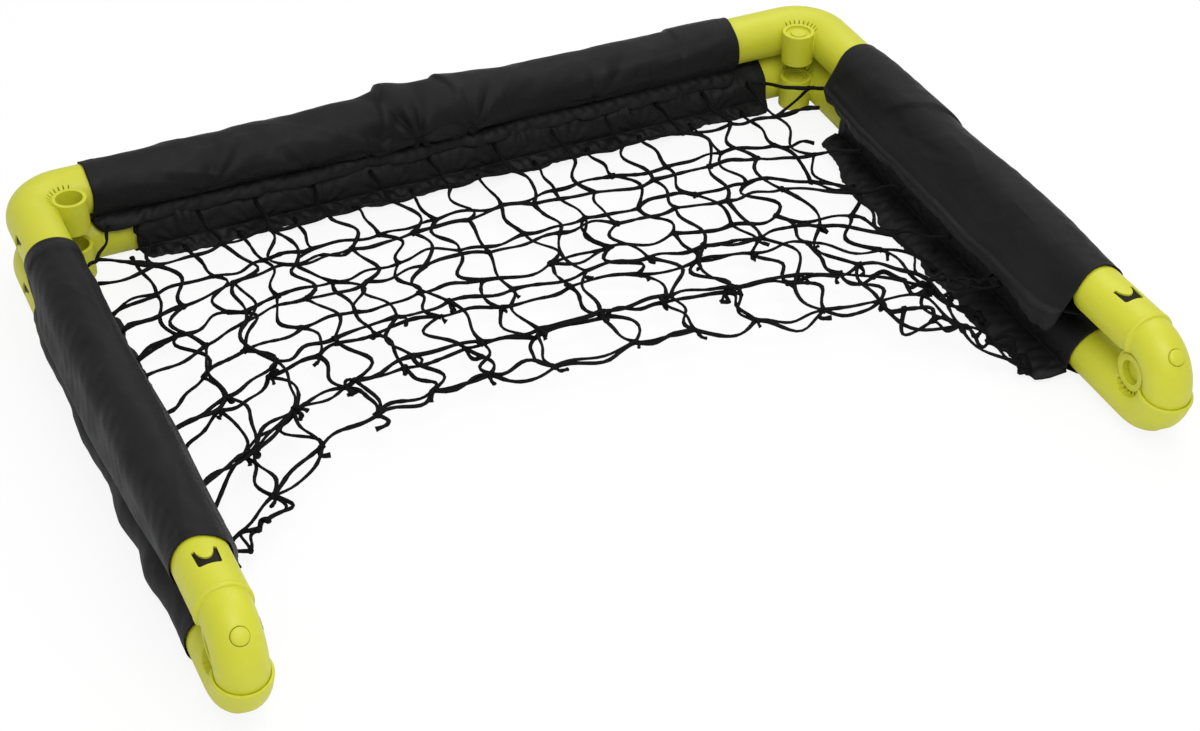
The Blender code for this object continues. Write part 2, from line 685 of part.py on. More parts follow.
def build_hinges(base, goal):
    """Both hinges, each with its pin, lock button and spring."""
    post_hinge, base_hinge, pin = make_post_hinge(), make_base_hinge(), make_pin()
    button, spring = make_button(), make_spring()
    out = button_direction()
    aim = Z_AXIS.rotation_difference(out).to_matrix().to_4x4()
    for side, sign in (("left", -1.0), ("right", 1.0)):
        spot = Matrix.Translation((sign * HALF_WIDTH, 0.0, 0.0))
        finish_part(copy_part(post_hinge), f"post_hinge_{side}", LIME_PLASTIC, goal, spot)
        finish_part(copy_part(button), f"lock_button_{side}", LIME_PLASTIC, goal, spot @ aim)
        finish_part(copy_part(spring), f"lock_spring_{side}", SPRING_STEEL, goal, spot @ aim)
        spot = Matrix.Translation((sign * HALF_WIDTH, 0.0, PIVOT_Z))
        finish_part(copy_part(base_hinge), f"base_hinge_{side}", LIME_PLASTIC, base, spot)
        finish_part(copy_part(pin), f"hinge_pin_{side}", LIME_PLASTIC, base, spot)
    for obj in (post_hinge, base_hinge, pin, button, spring):
        bpy.data.objects.remove(obj)


def build_goal():
    """Assemble the folded goal."""
    base = make_empty("base_frame", (0.0, PIVOT_Y, 0.0))
    goal = make_empty("goal_frame", (0.0, PIVOT_Y, PIVOT_Z), -REST_TILT)
    build_frame(
        ("back_bar", "side_rail", "back_elbow"), base, BASE_AXIS_Z, (BACK_BAR_SLEEVE, RAIL_SLEEVE),
        False, (11, 21))
    build_frame(
        ("crossbar", "post", "crossbar_elbow"), goal, HINGE_REACH, (CROSSBAR_SLEEVE, POST_SLEEVE),
        True, (31, 41))
    build_hinges(base, goal)
    margin = SLEEVE_RADIUS + SLEEVE_FLAP + NET_MARGIN + NET_CORD / 2
    net = make_net(
        FRAME_DEPTH - margin, HALF_WIDTH - margin, BASE_AXIS_Z + NET_FALL,
        PIVOT_Z + HINGE_REACH - NET_FALL, BASE_AXIS_Z + BACK_SPACING - NET_FALL)
    finish_part(net, "net", NET_TWINE, base, Matrix.Identity(4))


build_goal()
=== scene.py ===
"""Looks of a small folding soccer goal that lies folded flat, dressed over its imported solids."""

import json
import math

import bmesh
import bpy
import numpy as np
from mathutils import Matrix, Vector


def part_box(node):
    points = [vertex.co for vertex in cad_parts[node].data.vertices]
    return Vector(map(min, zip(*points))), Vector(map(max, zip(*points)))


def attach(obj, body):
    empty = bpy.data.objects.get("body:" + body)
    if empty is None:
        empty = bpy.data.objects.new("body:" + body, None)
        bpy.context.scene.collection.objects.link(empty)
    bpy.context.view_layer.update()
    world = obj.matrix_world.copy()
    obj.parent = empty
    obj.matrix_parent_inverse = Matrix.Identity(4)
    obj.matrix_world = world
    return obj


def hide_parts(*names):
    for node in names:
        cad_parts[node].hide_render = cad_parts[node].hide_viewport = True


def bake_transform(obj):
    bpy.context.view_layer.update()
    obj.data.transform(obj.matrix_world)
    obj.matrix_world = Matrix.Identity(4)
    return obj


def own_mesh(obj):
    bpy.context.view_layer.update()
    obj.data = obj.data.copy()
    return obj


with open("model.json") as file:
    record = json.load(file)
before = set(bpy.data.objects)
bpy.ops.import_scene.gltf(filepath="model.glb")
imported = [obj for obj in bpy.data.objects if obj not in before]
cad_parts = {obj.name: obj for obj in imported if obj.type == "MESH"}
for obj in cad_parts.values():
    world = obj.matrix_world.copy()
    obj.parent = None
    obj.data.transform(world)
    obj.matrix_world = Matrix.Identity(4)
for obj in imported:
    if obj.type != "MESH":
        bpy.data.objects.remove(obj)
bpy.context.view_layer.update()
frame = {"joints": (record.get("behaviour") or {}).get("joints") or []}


# The camera looks down on the folded goal from in front and a little to its left, with a long lens,
# from where the photograph was taken. Its place was worked out from the tubes and the hinges.
def in_scene(name, data):
    """A new object in the scene, at the origin."""
    made = bpy.data.objects.new(name, data)
    bpy.context.scene.collection.objects.link(made)
    return made


CAMERA_AZIMUTH = math.radians(-25.4133)
CAMERA_ELEVATION = math.radians(38.117)
CAMERA_ROLL = math.radians(1.1065)
CAMERA_DISTANCE = 1.94762
CAMERA_TARGET = (0.01135, -0.0281, 0.0009)
FOCAL_SHARE = 2427.41 / 1200
SENSOR_WIDTH = 36.0

flat = math.cos(CAMERA_ELEVATION)
back = np.array([
    math.sin(CAMERA_AZIMUTH) * flat, -math.cos(CAMERA_AZIMUTH) * flat, math.sin(CAMERA_ELEVATION)])
level = np.array([math.cos(CAMERA_AZIMUTH), math.sin(CAMERA_AZIMUTH), 0.0])
upright = np.cross(back, level)
right = math.cos(CAMERA_ROLL) * level + math.sin(CAMERA_ROLL) * upright
up = math.cos(CAMERA_ROLL) * upright - math.sin(CAMERA_ROLL) * level
camera = in_scene("camera", bpy.data.cameras.new("camera"))
camera.data.sensor_width = SENSOR_WIDTH
camera.data.lens = SENSOR_WIDTH * FOCAL_SHARE
pose = np.eye(4)
pose[:3, 0], pose[:3, 1], pose[:3, 2] = right, up, back
pose[:3, 3] = np.array(CAMERA_TARGET) + back * CAMERA_DISTANCE
camera.matrix_world = Matrix(pose.tolist())
bpy.context.scene.camera = camera


# The yellow-green mouldings are injection-moulded plastic with a fine satin texture from the mould.
# Their finish holds the shader tools, because it is the first one that is mixed.
class Socket:
    """A node socket that adds Math nodes when it is used in an expression."""

    def __init__(self, tree, link):
        self.tree = tree
        self.link = link

    def math(self, operation, *others):
        """One Math node, with this socket first and sockets or numbers after it."""
        return self.tree.add("ShaderNodeMath", {"operation": operation}, [self, *others])

    def __add__(self, other):
        return self.math("ADD", other)

    def __sub__(self, other):
        return self.math("SUBTRACT", other)

    def __mul__(self, other):
        return self.math("MULTIPLY", other)

    def __rsub__(self, other):
        return self.tree.add("ShaderNodeMath", {"operation": "SUBTRACT"}, [other, self])

    __radd__ = __add__
    __rmul__ = __mul__


class Finish:
    """Nodes written as expressions with one shader at their end, for a material or for the world."""

    def __init__(self, name, owner=None, shader="Principled BSDF", **constants):
        self.material = owner or bpy.data.materials.new(name)
        self.material.use_nodes = True
        self.tree = self.material.node_tree
        self.shader = self.tree.nodes[shader]
        for socket, value in constants.items():
            self.shader.inputs[socket.replace("_", " ")].default_value = value

    def add(self, kind, settings=None, inputs=None, output=0):
        """Add a node: settings first, then each input as a number, a colour or a socket."""
        node = self.tree.nodes.new(kind)
        for key, value in (settings or {}).items():
            setattr(node, key, value)
        pairs = inputs.items() if isinstance(inputs, dict) else enumerate(inputs or [])
        for key, value in pairs:
            if isinstance(value, Socket):
                self.tree.links.new(value.link, node.inputs[key])
            else:
                node.inputs[key].default_value = value
        return Socket(self, node.outputs[output])

    def place(self, kind="Object"):
        """Coordinates on the piece: Object, or UV."""
        return self.add("ShaderNodeTexCoord", output=kind)

    def part(self, vector, index):
        """One of the three numbers of a vector."""
        return self.add("ShaderNodeSeparateXYZ", None, [vector], output=index)

    def scaled(self, vector, factors):
        """A vector with each of its numbers multiplied."""
        return self.add("ShaderNodeVectorMath", {"operation": "MULTIPLY"}, {0: vector, 1: factors})

    def noise(self, place, scale, detail=3.0, roughness=0.5):
        """Cloudy noise from 0 to 1."""
        inputs = {"Vector": place, "Scale": scale, "Detail": detail, "Roughness": roughness}
        return self.add("ShaderNodeTexNoise", {"noise_dimensions": "3D"}, inputs)

    def blend_colours(self, factor, first, second):
        """From the first colour to the second as factor goes from 0 to 1."""
        inputs = {0: factor, 6: first, 7: second}
        return self.add("ShaderNodeMix", {"data_type": "RGBA"}, inputs, output=2)

    def range(self, value, low, high, out_low=0.0, out_high=1.0):
        """Map a stretch of values onto another, clamped."""
        return self.add("ShaderNodeMapRange", {"clamp": True}, [value, low, high, out_low, out_high])

    def bump(self, height, distance, strength=1.0):
        """Turn a height into a normal. The distance is in metres."""
        inputs = {"Height": height, "Distance": distance, "Strength": strength}
        return self.add("ShaderNodeBump", None, inputs)

    def feed(self, **sockets):
        """Link finished sockets to the shader."""
        for name, socket in sockets.items():
            self.tree.links.new(socket.link, self.shader.inputs[name.replace("_", " ")])
        return self.material


LIME_CLOUDS = (0.530, 0.538, 0.022, 1.0), (0.580, 0.585, 0.030, 1.0)
LIME_RUBBED = (0.62, 0.62, 0.06, 1.0)
LIME_GRAIN = 0.00006


def lime_finish():
    """Satin plastic: clouded colour, a fine moulded grain and faint rubbed patches."""
    finish = Finish("lime_plastic", Specular_IOR_Level=0.45, Coat_Roughness=0.3)
    place = finish.place()
    cloud = finish.noise(place, 22.0, 3.0)
    grain = finish.noise(place, 2600.0, 2.0, 0.6)
    rubbed = finish.range(finish.noise(place, 60.0, 5.0, 0.7), 0.52, 0.72)
    colour = finish.blend_colours(cloud, *LIME_CLOUDS)
    colour = finish.blend_colours(rubbed * 0.25, colour, LIME_RUBBED)
    rough = 0.40 + cloud * 0.08 - rubbed * 0.08 + grain * 0.05
    normal = finish.bump(grain + finish.noise(place, 240.0, 2.0) * 0.5, LIME_GRAIN, 0.6)
    return finish.feed(Base_Color=colour, Roughness=rough, Normal=normal)


LIME = lime_finish()


# Each corner of a frame is one moulding: a swept quarter bend with a socket at each end, and in the
# bend a round boss, open on one face and closed by a dished web with a stud on the other. The far
# left corners lie with the open face up, the far right ones with the dished face up.
SIDES = (("left", -1.0), ("right", 1.0))
pin_low, pin_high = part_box("hinge_pin_right")
PIVOT = np.array([pin_low[0] / 2 + pin_high[0] / 2, *frame["joints"][0]["pos_m"][1:]])
HALF_WIDTH = PIVOT[0]
FRAME_DEPTH = 0.5393
HINGE_REACH = 0.02835
BACK_SPACING = 0.0452
REST_TILT = math.asin((2 * HINGE_REACH - BACK_SPACING) / FRAME_DEPTH)

BEND_RADIUS = 0.0311
SOCKET_RADIUS = 0.0212
SOCKET_LENGTH = 0.0740
SOCKET_LIP = 0.0010
SOCKET_MOUTH = (0.0184, 0.0060)  # radius, depth
BOSS_RADIUS = 0.0144
BOSS_HALF_HEIGHT = 0.0149
BOSS_HOLE = (0.0111, 0.0200)  # radius, depth, as for the dish and the stud
BOSS_DISH = (0.0111, 0.0030)
BOSS_STUD = (0.0068, 0.0012)
NOTCH_ANGLES = math.pi / 4 + np.radians(np.linspace(-59.0, 59.0, 9))
NOTCH_RADII = (0.0150, 0.0180)
NOTCH_WIDTH = 0.0012
NOTCH_FLOOR = 0.0060
SLOT_FROM_BEND = 0.0332
SLOT_HALF_WIDTH = 0.0084
SLOT_HALF_LENGTH = 0.0084
SLOT_ARM = 0.0066
SLOT_TIP = 0.0020
SLOT_TAPER = 0.12
SLOT_CORNER = 0.0024
SLOT_FLARE = 0.0006
SLOT_DEPTHS = (0.0060, 0.0030)  # under and over the skin
LIP_STEPS = np.array([0.0, 0.05, 0.15, 0.3, 0.5, 0.75, 1.0])
PAST_FACE = 0.0100
MOULD_VOXEL = 0.00042
MOULD_ROUNDS = 3
MOULD_KEEP = 0.16
SHARP_ANGLE = math.radians(50.0)


def solid_from_rings(name, rings):
    """Closed skin through a (rings, points, 3) array, each end closed by a flat face."""
    count, around = rings.shape[:2]
    index = np.arange(count * around).reshape(count, around)
    a, b = index[:-1], index[1:]
    quads = np.stack([a, np.roll(a, -1, 1), np.roll(b, -1, 1), b], -1).reshape(-1, 4)
    mesh = bpy.data.meshes.new(name)
    faces = quads.tolist() + [index[0][::-1].tolist(), index[-1].tolist()]
    mesh.from_pydata(rings.reshape(-1, 3).tolist(), [], faces)
    return in_scene(name, mesh)


def sweep(name, path, radii, axis, around=72):
    """Round section carried along a flat path.

    Each ring lies across the path's direction: its points are the path's point plus the radius
    times the cosine along the plane's normal and the sine along the cross of direction and normal.
    """
    path, axis = np.asarray(path, float), np.asarray(axis, float)
    along = np.gradient(path, axis=0)
    along /= np.linalg.norm(along, axis=1)[:, None]
    side = np.cross(along, axis)
    turn = np.linspace(0.0, 2 * math.pi, around, endpoint=False)
    ring = np.cos(turn)[None, :, None] * axis + np.sin(turn)[None, :, None] * side[:, None, :]
    return solid_from_rings(name, path[:, None, :] + np.asarray(radii)[:, None, None] * ring)


def turned(name, profile, axis="Z", around=72):
    """Surface of revolution of a profile of (radius, height) pairs about one row axis."""
    profile = np.asarray(profile, float)
    turn = np.linspace(0.0, 2 * math.pi, around, endpoint=False)
    first = profile[:, 0, None] * np.cos(turn)
    second = profile[:, 0, None] * np.sin(turn)
    height = np.broadcast_to(profile[:, 1, None], first.shape)
    order = {
        "X": (height, first, second), "Y": (second, height, first), "Z": (first, second, height)}
    return solid_from_rings(name, np.stack(order[axis], -1))


def post(name, radius, low, high, axis="Z"):
    """Plain round post between two heights."""
    return turned(name, [(radius, low), (radius, high)], axis)


def block(name, along, width, heights):
    """Box from two distances along X, of some width across it, between two heights."""
    corners = np.array([[0, -1], [1, -1], [1, 1], [0, 1]], float)
    outline = np.stack([np.take(along, corners[:, 0].astype(int)), corners[:, 1] * width / 2], -1)
    rings = [np.concatenate([outline, np.full((4, 1), height)], 1) for height in heights]
    return solid_from_rings(name, np.stack(rings))


def shift(obj, matrix):
    """Put the mesh of an object elsewhere, keeping its faces outwards."""
    matrix = Matrix(np.asarray(matrix, float).tolist())
    obj.data.transform(matrix)
    if matrix.determinant() < 0:
        obj.data.flip_normals()
    return obj


def turn_about(axis, angle, at=(0.0, 0.0, 0.0)):
    """Turn about a row axis and then move, as a 4 by 4 array."""
    made = np.array(Matrix.Rotation(angle, 4, axis))
    made[:3, 3] = at
    return made


def move(*at):
    """Move without a turn, as a 4 by 4 array."""
    return turn_about("X", 0.0, at)


def joined(name, *parts):
    """One object out of several closed parts that don't touch."""
    made = bmesh.new()
    for part in parts:
        made.from_mesh(part.data)
        bpy.data.objects.remove(part)
    mesh = bpy.data.meshes.new(name)
    made.to_mesh(mesh)
    made.free()
    return in_scene(name, mesh)


def settle(obj):
    """Apply an object's modifiers to its mesh."""
    depsgraph = bpy.context.evaluated_depsgraph_get()
    mesh = bpy.data.meshes.new_from_object(obj.evaluated_get(depsgraph))
    obj.modifiers.clear()
    obj.data = mesh
    return obj


def work(target, operation, *tools):
    """Join tools to target or cut them out of it, and remove them."""
    for tool in tools:
        modifier = target.modifiers.new(operation, "BOOLEAN")
        modifier.operation = operation
        modifier.solver = "EXACT"
        modifier.object = tool
        settle(target)
        bpy.data.objects.remove(tool)
    return target


def soften(obj):
    """Round every edge a little, as a mould does, by remeshing finely, smoothing and thinning."""
    remesh = obj.modifiers.new("remesh", "REMESH")
    remesh.mode = "VOXEL"
    remesh.voxel_size = MOULD_VOXEL
    smooth = obj.modifiers.new("smooth", "SMOOTH")
    smooth.factor = 0.5
    smooth.iterations = MOULD_ROUNDS
    thin = obj.modifiers.new("thin", "DECIMATE")
    thin.ratio = MOULD_KEEP
    settle(obj)
    obj.data.shade_smooth()
    return obj


def piece_of(name, mesh, matrix, body, node, material):
    """A named piece with its own copy of a mesh, in its place, that stands for a node."""
    obj = shift(in_scene(name, mesh.copy()), matrix)
    obj.data.materials.clear()
    obj.data.materials.append(material)
    obj.data.shade_smooth()
    obj.data.set_sharp_from_angle(angle=SHARP_ANGLE)
    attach(obj, body)
    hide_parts(node)
    return obj


def slot_outline():
    """Outline of the slot round a snap tongue: a U whose arms point along +Y and taper to their tips.

    The outer side is straight with two rounded corners, the inner side a half ellipse.
    """
    w, h = SLOT_HALF_WIDTH, SLOT_HALF_LENGTH
    turn = np.linspace(math.pi, 1.5 * math.pi, 7)
    left = np.stack([
        SLOT_CORNER - w + SLOT_CORNER * np.cos(turn), SLOT_CORNER - h + SLOT_CORNER * np.sin(turn)], -1)
    outer = np.concatenate([
        [[-w - SLOT_FLARE, h]], left, left[::-1] * [-1.0, 1.0], [[w + SLOT_FLARE, h]]])
    turn = np.linspace(2 * math.pi, math.pi, 25)
    inner = np.stack([
        (w - SLOT_TIP) * np.cos(turn) * (1.0 - SLOT_TAPER * np.abs(np.sin(turn))),
        h + (2 * h - SLOT_ARM) * np.sin(turn)], -1)
    return np.concatenate([outer, inner])


def slot_cutter(name):
    """The slot's outline as a prism along Z, from just under the tube's skin to past the socket."""
    outline = slot_outline()
    heights = np.array([SOCKET_RADIUS - SLOT_DEPTHS[0], SOCKET_RADIUS + SLOT_DEPTHS[1]])
    rings = np.concatenate([
        np.broadcast_to(outline, (2, *outline.shape)),
        np.broadcast_to(heights[:, None, None], (2, len(outline), 1))], -1)
    return solid_from_rings(name, rings)


def socket_radii(distance):
    """Radius along a socket, whose mouth is rounded over the last stretch like a quarter circle."""
    left = np.clip((SOCKET_LENGTH - distance) / SOCKET_LIP, 0.0, 1.0)
    return SOCKET_RADIUS - SOCKET_LIP + SOCKET_LIP * np.sqrt(1.0 - (1.0 - left) ** 2)


def outward(side, near, far):
    """Two distances on one side of the middle plane, the lower one first."""
    return np.sort([side * near, side * far])


def elbow_mesh():
    """The corner moulding at the origin, with its boss on Z and its sockets along -X and -Y."""
    straight = np.concatenate([LIP_STEPS * SOCKET_LIP, np.linspace(0.004, SOCKET_LENGTH, 24)])
    turn = np.linspace(math.pi / 2, 0.0, 49)[1:-1]
    first = np.stack([straight - SOCKET_LENGTH, np.full(straight.shape, BEND_RADIUS)], -1)
    bend = BEND_RADIUS * np.stack([np.cos(turn), np.sin(turn)], -1)
    path = np.concatenate([first, bend, first[::-1, ::-1]])
    path = np.concatenate([path, np.zeros((len(path), 1))], -1)
    radii = socket_radii(np.maximum(-path[:, 0], -path[:, 1]))
    elbow = sweep("elbow", path, radii, (0, 0, 1), 96)
    work(elbow, "UNION", post("boss", BOSS_RADIUS, -BOSS_HALF_HEIGHT, BOSS_HALF_HEIGHT))
    for axis, at in (("X", (0.0, BEND_RADIUS, 0.0)), ("Y", (BEND_RADIUS, 0.0, 0.0))):
        mouth = post(
            "mouth", SOCKET_MOUTH[0], -SOCKET_LENGTH - PAST_FACE, SOCKET_MOUTH[1] - SOCKET_LENGTH, axis)
        work(elbow, "DIFFERENCE", shift(mouth, move(*at)))
    hole = post("hole", BOSS_HOLE[0], -BOSS_HALF_HEIGHT - PAST_FACE, BOSS_HOLE[1] - BOSS_HALF_HEIGHT)
    dish = post("dish", BOSS_DISH[0], BOSS_HALF_HEIGHT - BOSS_DISH[1], BOSS_HALF_HEIGHT + PAST_FACE)
    stud = post("stud", BOSS_STUD[0], 0.0, BOSS_HALF_HEIGHT - BOSS_STUD[1])
    work(elbow, "DIFFERENCE", hole, work(dish, "DIFFERENCE", stud))
    soften(elbow)
    first_slot = np.array([
        [0, -1, 0, -SLOT_FROM_BEND], [0, 0, 1, BEND_RADIUS], [1, 0, 0, 0], [0, 0, 0, 1]])
    swapped = first_slot[[1, 0, 2, 3]]
    cuts = [shift(slot_cutter("slot"), place) for place in (first_slot, swapped)]
    for side in (-1.0, 1.0):
        heights = outward(side, NOTCH_FLOOR, 3 * PAST_FACE)
        cuts += [shift(block("notch", NOTCH_RADII, NOTCH_WIDTH, heights), turn_about("Z", angle))
                 for angle in NOTCH_ANGLES]
    mesh = work(elbow, "DIFFERENCE", joined("cuts", *cuts)).data
    bpy.data.objects.remove(elbow)
    return mesh


def goal_place(x, y, z):
    """Place in the mouth frame, given from its pivot, with the lean that the frame has at rest."""
    return turn_about("X", -REST_TILT, (0.0, *PIVOT[1:])) @ move(x, y, z)


def base_place(x, y, z):
    """Place in the base frame, given from the pivot."""
    return move(x, PIVOT[1] + y, PIVOT[2] + z)


ELBOW = elbow_mesh()
for side, sign in SIDES:
    spot = (sign * (HALF_WIDTH - BEND_RADIUS), FRAME_DEPTH - BEND_RADIUS)
    flip = turn_about("Y", 0.0 if sign > 0 else math.pi)
    piece_of(
        f"crossbar_corner_{side}", ELBOW, goal_place(*spot, HINGE_REACH) @ flip, "goal_frame",
        f"crossbar_elbow_{side}", LIME)
    piece_of(
        f"back_corner_{side}", ELBOW, base_place(*spot, -HINGE_REACH) @ flip, "base_frame",
        f"back_elbow_{side}", LIME)


# Each hinge has an upper and a lower moulding, both with a socket for a tube. The upper one ends in a
# rim, from which a narrower hood bends down to a hub between the cheeks. A hole and a well in the
# hood hold the lock button. The lower one bends up as a cup round the hood, with a bead at its lip,
# and has a raised ring on each cheek, with moulded teeth beside it.
HOOD_RADIUS = 0.0190
HOOD_END = 190.0
RIM_BULGE = 0.0004
CUP_BORE = 0.0192
CUP_LIP = 186.5
CUP_BEAD = (0.0005, 0.0024)  # height, width
SWEEP = (174.0, 284.0)
HUB_RADIUS = 0.0120
HUB_HALF_WIDTH = 0.0060
HUB_SLOT = 0.0080
CHEEK_RADIUS = 0.0202
DISC_RADIUS = 0.0183
DISC_FACE = 0.0130
RING_RADII = (0.0100, 0.0154)
RING_FACE = 0.0143
RING_FLOOR = 0.0078
TOOTH_ANGLES = np.radians(np.linspace(240.0, 310.0, 6))
TOOTH_RADII = (0.0162, 0.0188)
TOOTH_GAP = 0.0018
TOOTH_FLOOR = 0.0100
PIN_BORE = 0.0043
BUTTON_ANGLE = math.radians(135.5)
BUTTON_RADIUS = 0.0065
BUTTON_GAP = 0.0003
BUTTON_TOP = HINGE_REACH + HOOD_RADIUS + 0.0014
BUTTON_HOLE = (0.0400, 0.0550)
BUTTON_WINDOW = (0.0440, 0.0540)
WELL = (0.0084, 0.0310, 0.0433)  # radius, floor, top
GROOVE_DEPTH_RADIUS = 0.0206
GROOVE_ANGLES = (192.0, 229.0)
GROOVE_RADII = (0.0600, 0.0400)
HINGE_CLEAR = 0.0400


def hinge_arc(start, end, count):
    """Points round the pivot in the plane across it. Angles are degrees from +Y towards +Z."""
    turn = np.radians(np.linspace(start, end, count))
    return HINGE_REACH * np.stack([np.zeros(count), np.cos(turn), np.sin(turn)], -1)


def running_length(path):
    """Distance along a path at each of its points."""
    return np.concatenate([[0.0], np.cumsum(np.linalg.norm(np.diff(path, axis=0), axis=1))])


def socket_path(height, arc_points, rim_points):
    """From a socket's mouth along its straight part, and on round the pivot."""
    run = np.concatenate([
        LIP_STEPS * SOCKET_LIP, np.linspace(0.004, SOCKET_LENGTH - 0.006, 20), rim_points])
    straight = np.stack([np.zeros(run.shape), SOCKET_LENGTH - run, np.full(run.shape, height)], -1)
    return np.concatenate([straight, arc_points])


def socket_mouth(height):
    """Cutter for the step in a hinge socket's mouth, at some height over the pivot."""
    radius, depth = SOCKET_MOUTH
    mouth = post("mouth", radius, SOCKET_LENGTH - depth, SOCKET_LENGTH + PAST_FACE, "Y")
    return shift(mouth, move(0.0, 0.0, height))


def button_axis(radius, low, high, extra=0.0):
    """A post along the line from the pivot through the lock button."""
    angle = BUTTON_ANGLE + math.radians(extra)
    return shift(post("axis_post", radius, low, high), turn_about("X", angle - math.pi / 2))


def upper_hinge_mesh():
    """Upper half with the pivot at the origin and its socket above it, along +Y."""
    rim = np.linspace(SOCKET_LENGTH - 0.005, SOCKET_LENGTH, 14)
    path = socket_path(HINGE_REACH, hinge_arc(91.0, HOOD_END, 60), rim)
    run = running_length(path)
    from_rim = SOCKET_LENGTH - run
    radii = socket_radii(from_rim)
    bulge = RIM_BULGE * np.exp(-((from_rim - 0.0030) / 0.0013) ** 2)
    step = np.clip(from_rim / 0.0016, 0.0, 1.0)
    step = np.sqrt(1.0 - (1.0 - step) ** 2)
    radii = HOOD_RADIUS + (radii + bulge - HOOD_RADIUS) * step
    hinge = sweep("upper_hinge", path, radii, (1, 0, 0), 96)
    work(hinge, "UNION", post("hub", HUB_RADIUS, -HUB_HALF_WIDTH, HUB_HALF_WIDTH, "X"))
    for side in (-1.0, 1.0):
        pocket = outward(side, HUB_HALF_WIDTH, HINGE_CLEAR)
        work(hinge, "DIFFERENCE", post("pocket", CHEEK_RADIUS + BUTTON_GAP, *pocket, "X"))
    work(hinge, "DIFFERENCE", socket_mouth(HINGE_REACH), button_axis(*WELL),
         button_axis(BUTTON_RADIUS + BUTTON_GAP, *BUTTON_HOLE))
    slot = shift(slot_cutter("slot"), move(0.0, SLOT_FROM_BEND, HINGE_REACH))
    mesh = work(soften(hinge), "DIFFERENCE", slot).data
    bpy.data.objects.remove(hinge)
    return mesh


def lower_hinge_mesh():
    """Lower half with the pivot at the origin and its socket below it, along +Y."""
    path = socket_path(-HINGE_REACH, hinge_arc(270.0, CUP_LIP, 60), np.array([SOCKET_LENGTH - 0.004]))
    run = running_length(path)
    bead = CUP_BEAD[0] * np.exp(-((run[-1] - run - 0.0016) / (CUP_BEAD[1] / 2)) ** 2)
    hinge = sweep("lower_hinge", path, socket_radii(SOCKET_LENGTH - run) + bead, (1, 0, 0), 96)
    arc = hinge_arc(*GROOVE_ANGLES, 40)
    groove = sweep("groove", arc, np.full(len(arc), GROOVE_DEPTH_RADIUS), (1, 0, 0))
    turn = np.radians(np.linspace(*GROOVE_ANGLES, 24))
    rim = np.stack([np.cos(turn), np.sin(turn)], -1)
    fan = np.concatenate([GROOVE_RADII[0] * rim, GROOVE_RADII[1] * rim[::-1]])
    half = BUTTON_RADIUS + BUTTON_GAP
    rings = np.stack([np.concatenate([np.full((len(fan), 1), x), fan], -1) for x in (-half, half)])
    work(groove, "INTERSECT", solid_from_rings("fan", rings))
    window = button_axis(BUTTON_RADIUS + 2 * BUTTON_GAP, *BUTTON_WINDOW, 90.0)
    work(hinge, "DIFFERENCE", groove, window)
    disc = RING_FACE + 0.002
    work(hinge, "UNION", post("discs", DISC_RADIUS, -disc, disc, "X"))
    for side in (-1.0, 1.0):
        recess = post("recess", DISC_RADIUS + 0.0002, *outward(side, DISC_FACE, HINGE_CLEAR), "X")
        ring = post("ring", RING_RADII[1], *outward(side, 0.01, RING_FACE), "X")
        bore = post("ring_bore", RING_RADII[0], *outward(side, RING_FLOOR, HINGE_CLEAR), "X")
        work(hinge, "DIFFERENCE", work(recess, "DIFFERENCE", ring), bore)
    arc = hinge_arc(*SWEEP, 60)
    room = sweep("room", arc, np.full(len(arc), CUP_BORE), (1, 0, 0))
    work(room, "UNION", post("hub_slot", DISC_RADIUS + 0.0004, -HUB_SLOT, HUB_SLOT, "X"))
    for side in (-1.0, 1.0):
        cheek = outward(side, HUB_HALF_WIDTH + 2 * BUTTON_GAP, HINGE_CLEAR)
        work(room, "DIFFERENCE", post("cheek", CHEEK_RADIUS - BUTTON_GAP, *cheek, "X"))
    bore = post("pin_bore", PIN_BORE, -HINGE_CLEAR, HINGE_CLEAR, "X")
    work(hinge, "DIFFERENCE", room, bore, socket_mouth(-HINGE_REACH))
    cuts = [shift(slot_cutter("slot"), turn_about("Y", math.pi, (0.0, SLOT_FROM_BEND, -HINGE_REACH)))]
    across = np.eye(4)[[2, 0, 1, 3]]
    for side in (-1.0, 1.0):
        heights = outward(side, TOOTH_FLOOR, HINGE_CLEAR)
        cuts += [shift(block("gap", TOOTH_RADII, TOOTH_GAP, heights), turn_about("X", angle) @ across)
                 for angle in TOOTH_ANGLES]
    mesh = work(soften(hinge), "DIFFERENCE", joined("cuts", *cuts)).data
    bpy.data.objects.remove(hinge)
    return mesh


UPPER_HINGE = upper_hinge_mesh()
LOWER_HINGE = lower_hinge_mesh()
for side, sign in SIDES:
    piece_of(
        f"upper_hinge_{side}", UPPER_HINGE, goal_place(sign * HALF_WIDTH, 0.0, 0.0), "goal_frame",
        f"post_hinge_{side}", LIME)
    piece_of(
        f"lower_hinge_{side}", LOWER_HINGE, base_place(sign * HALF_WIDTH, 0.0, 0.0), "base_frame",
        f"base_hinge_{side}", LIME)


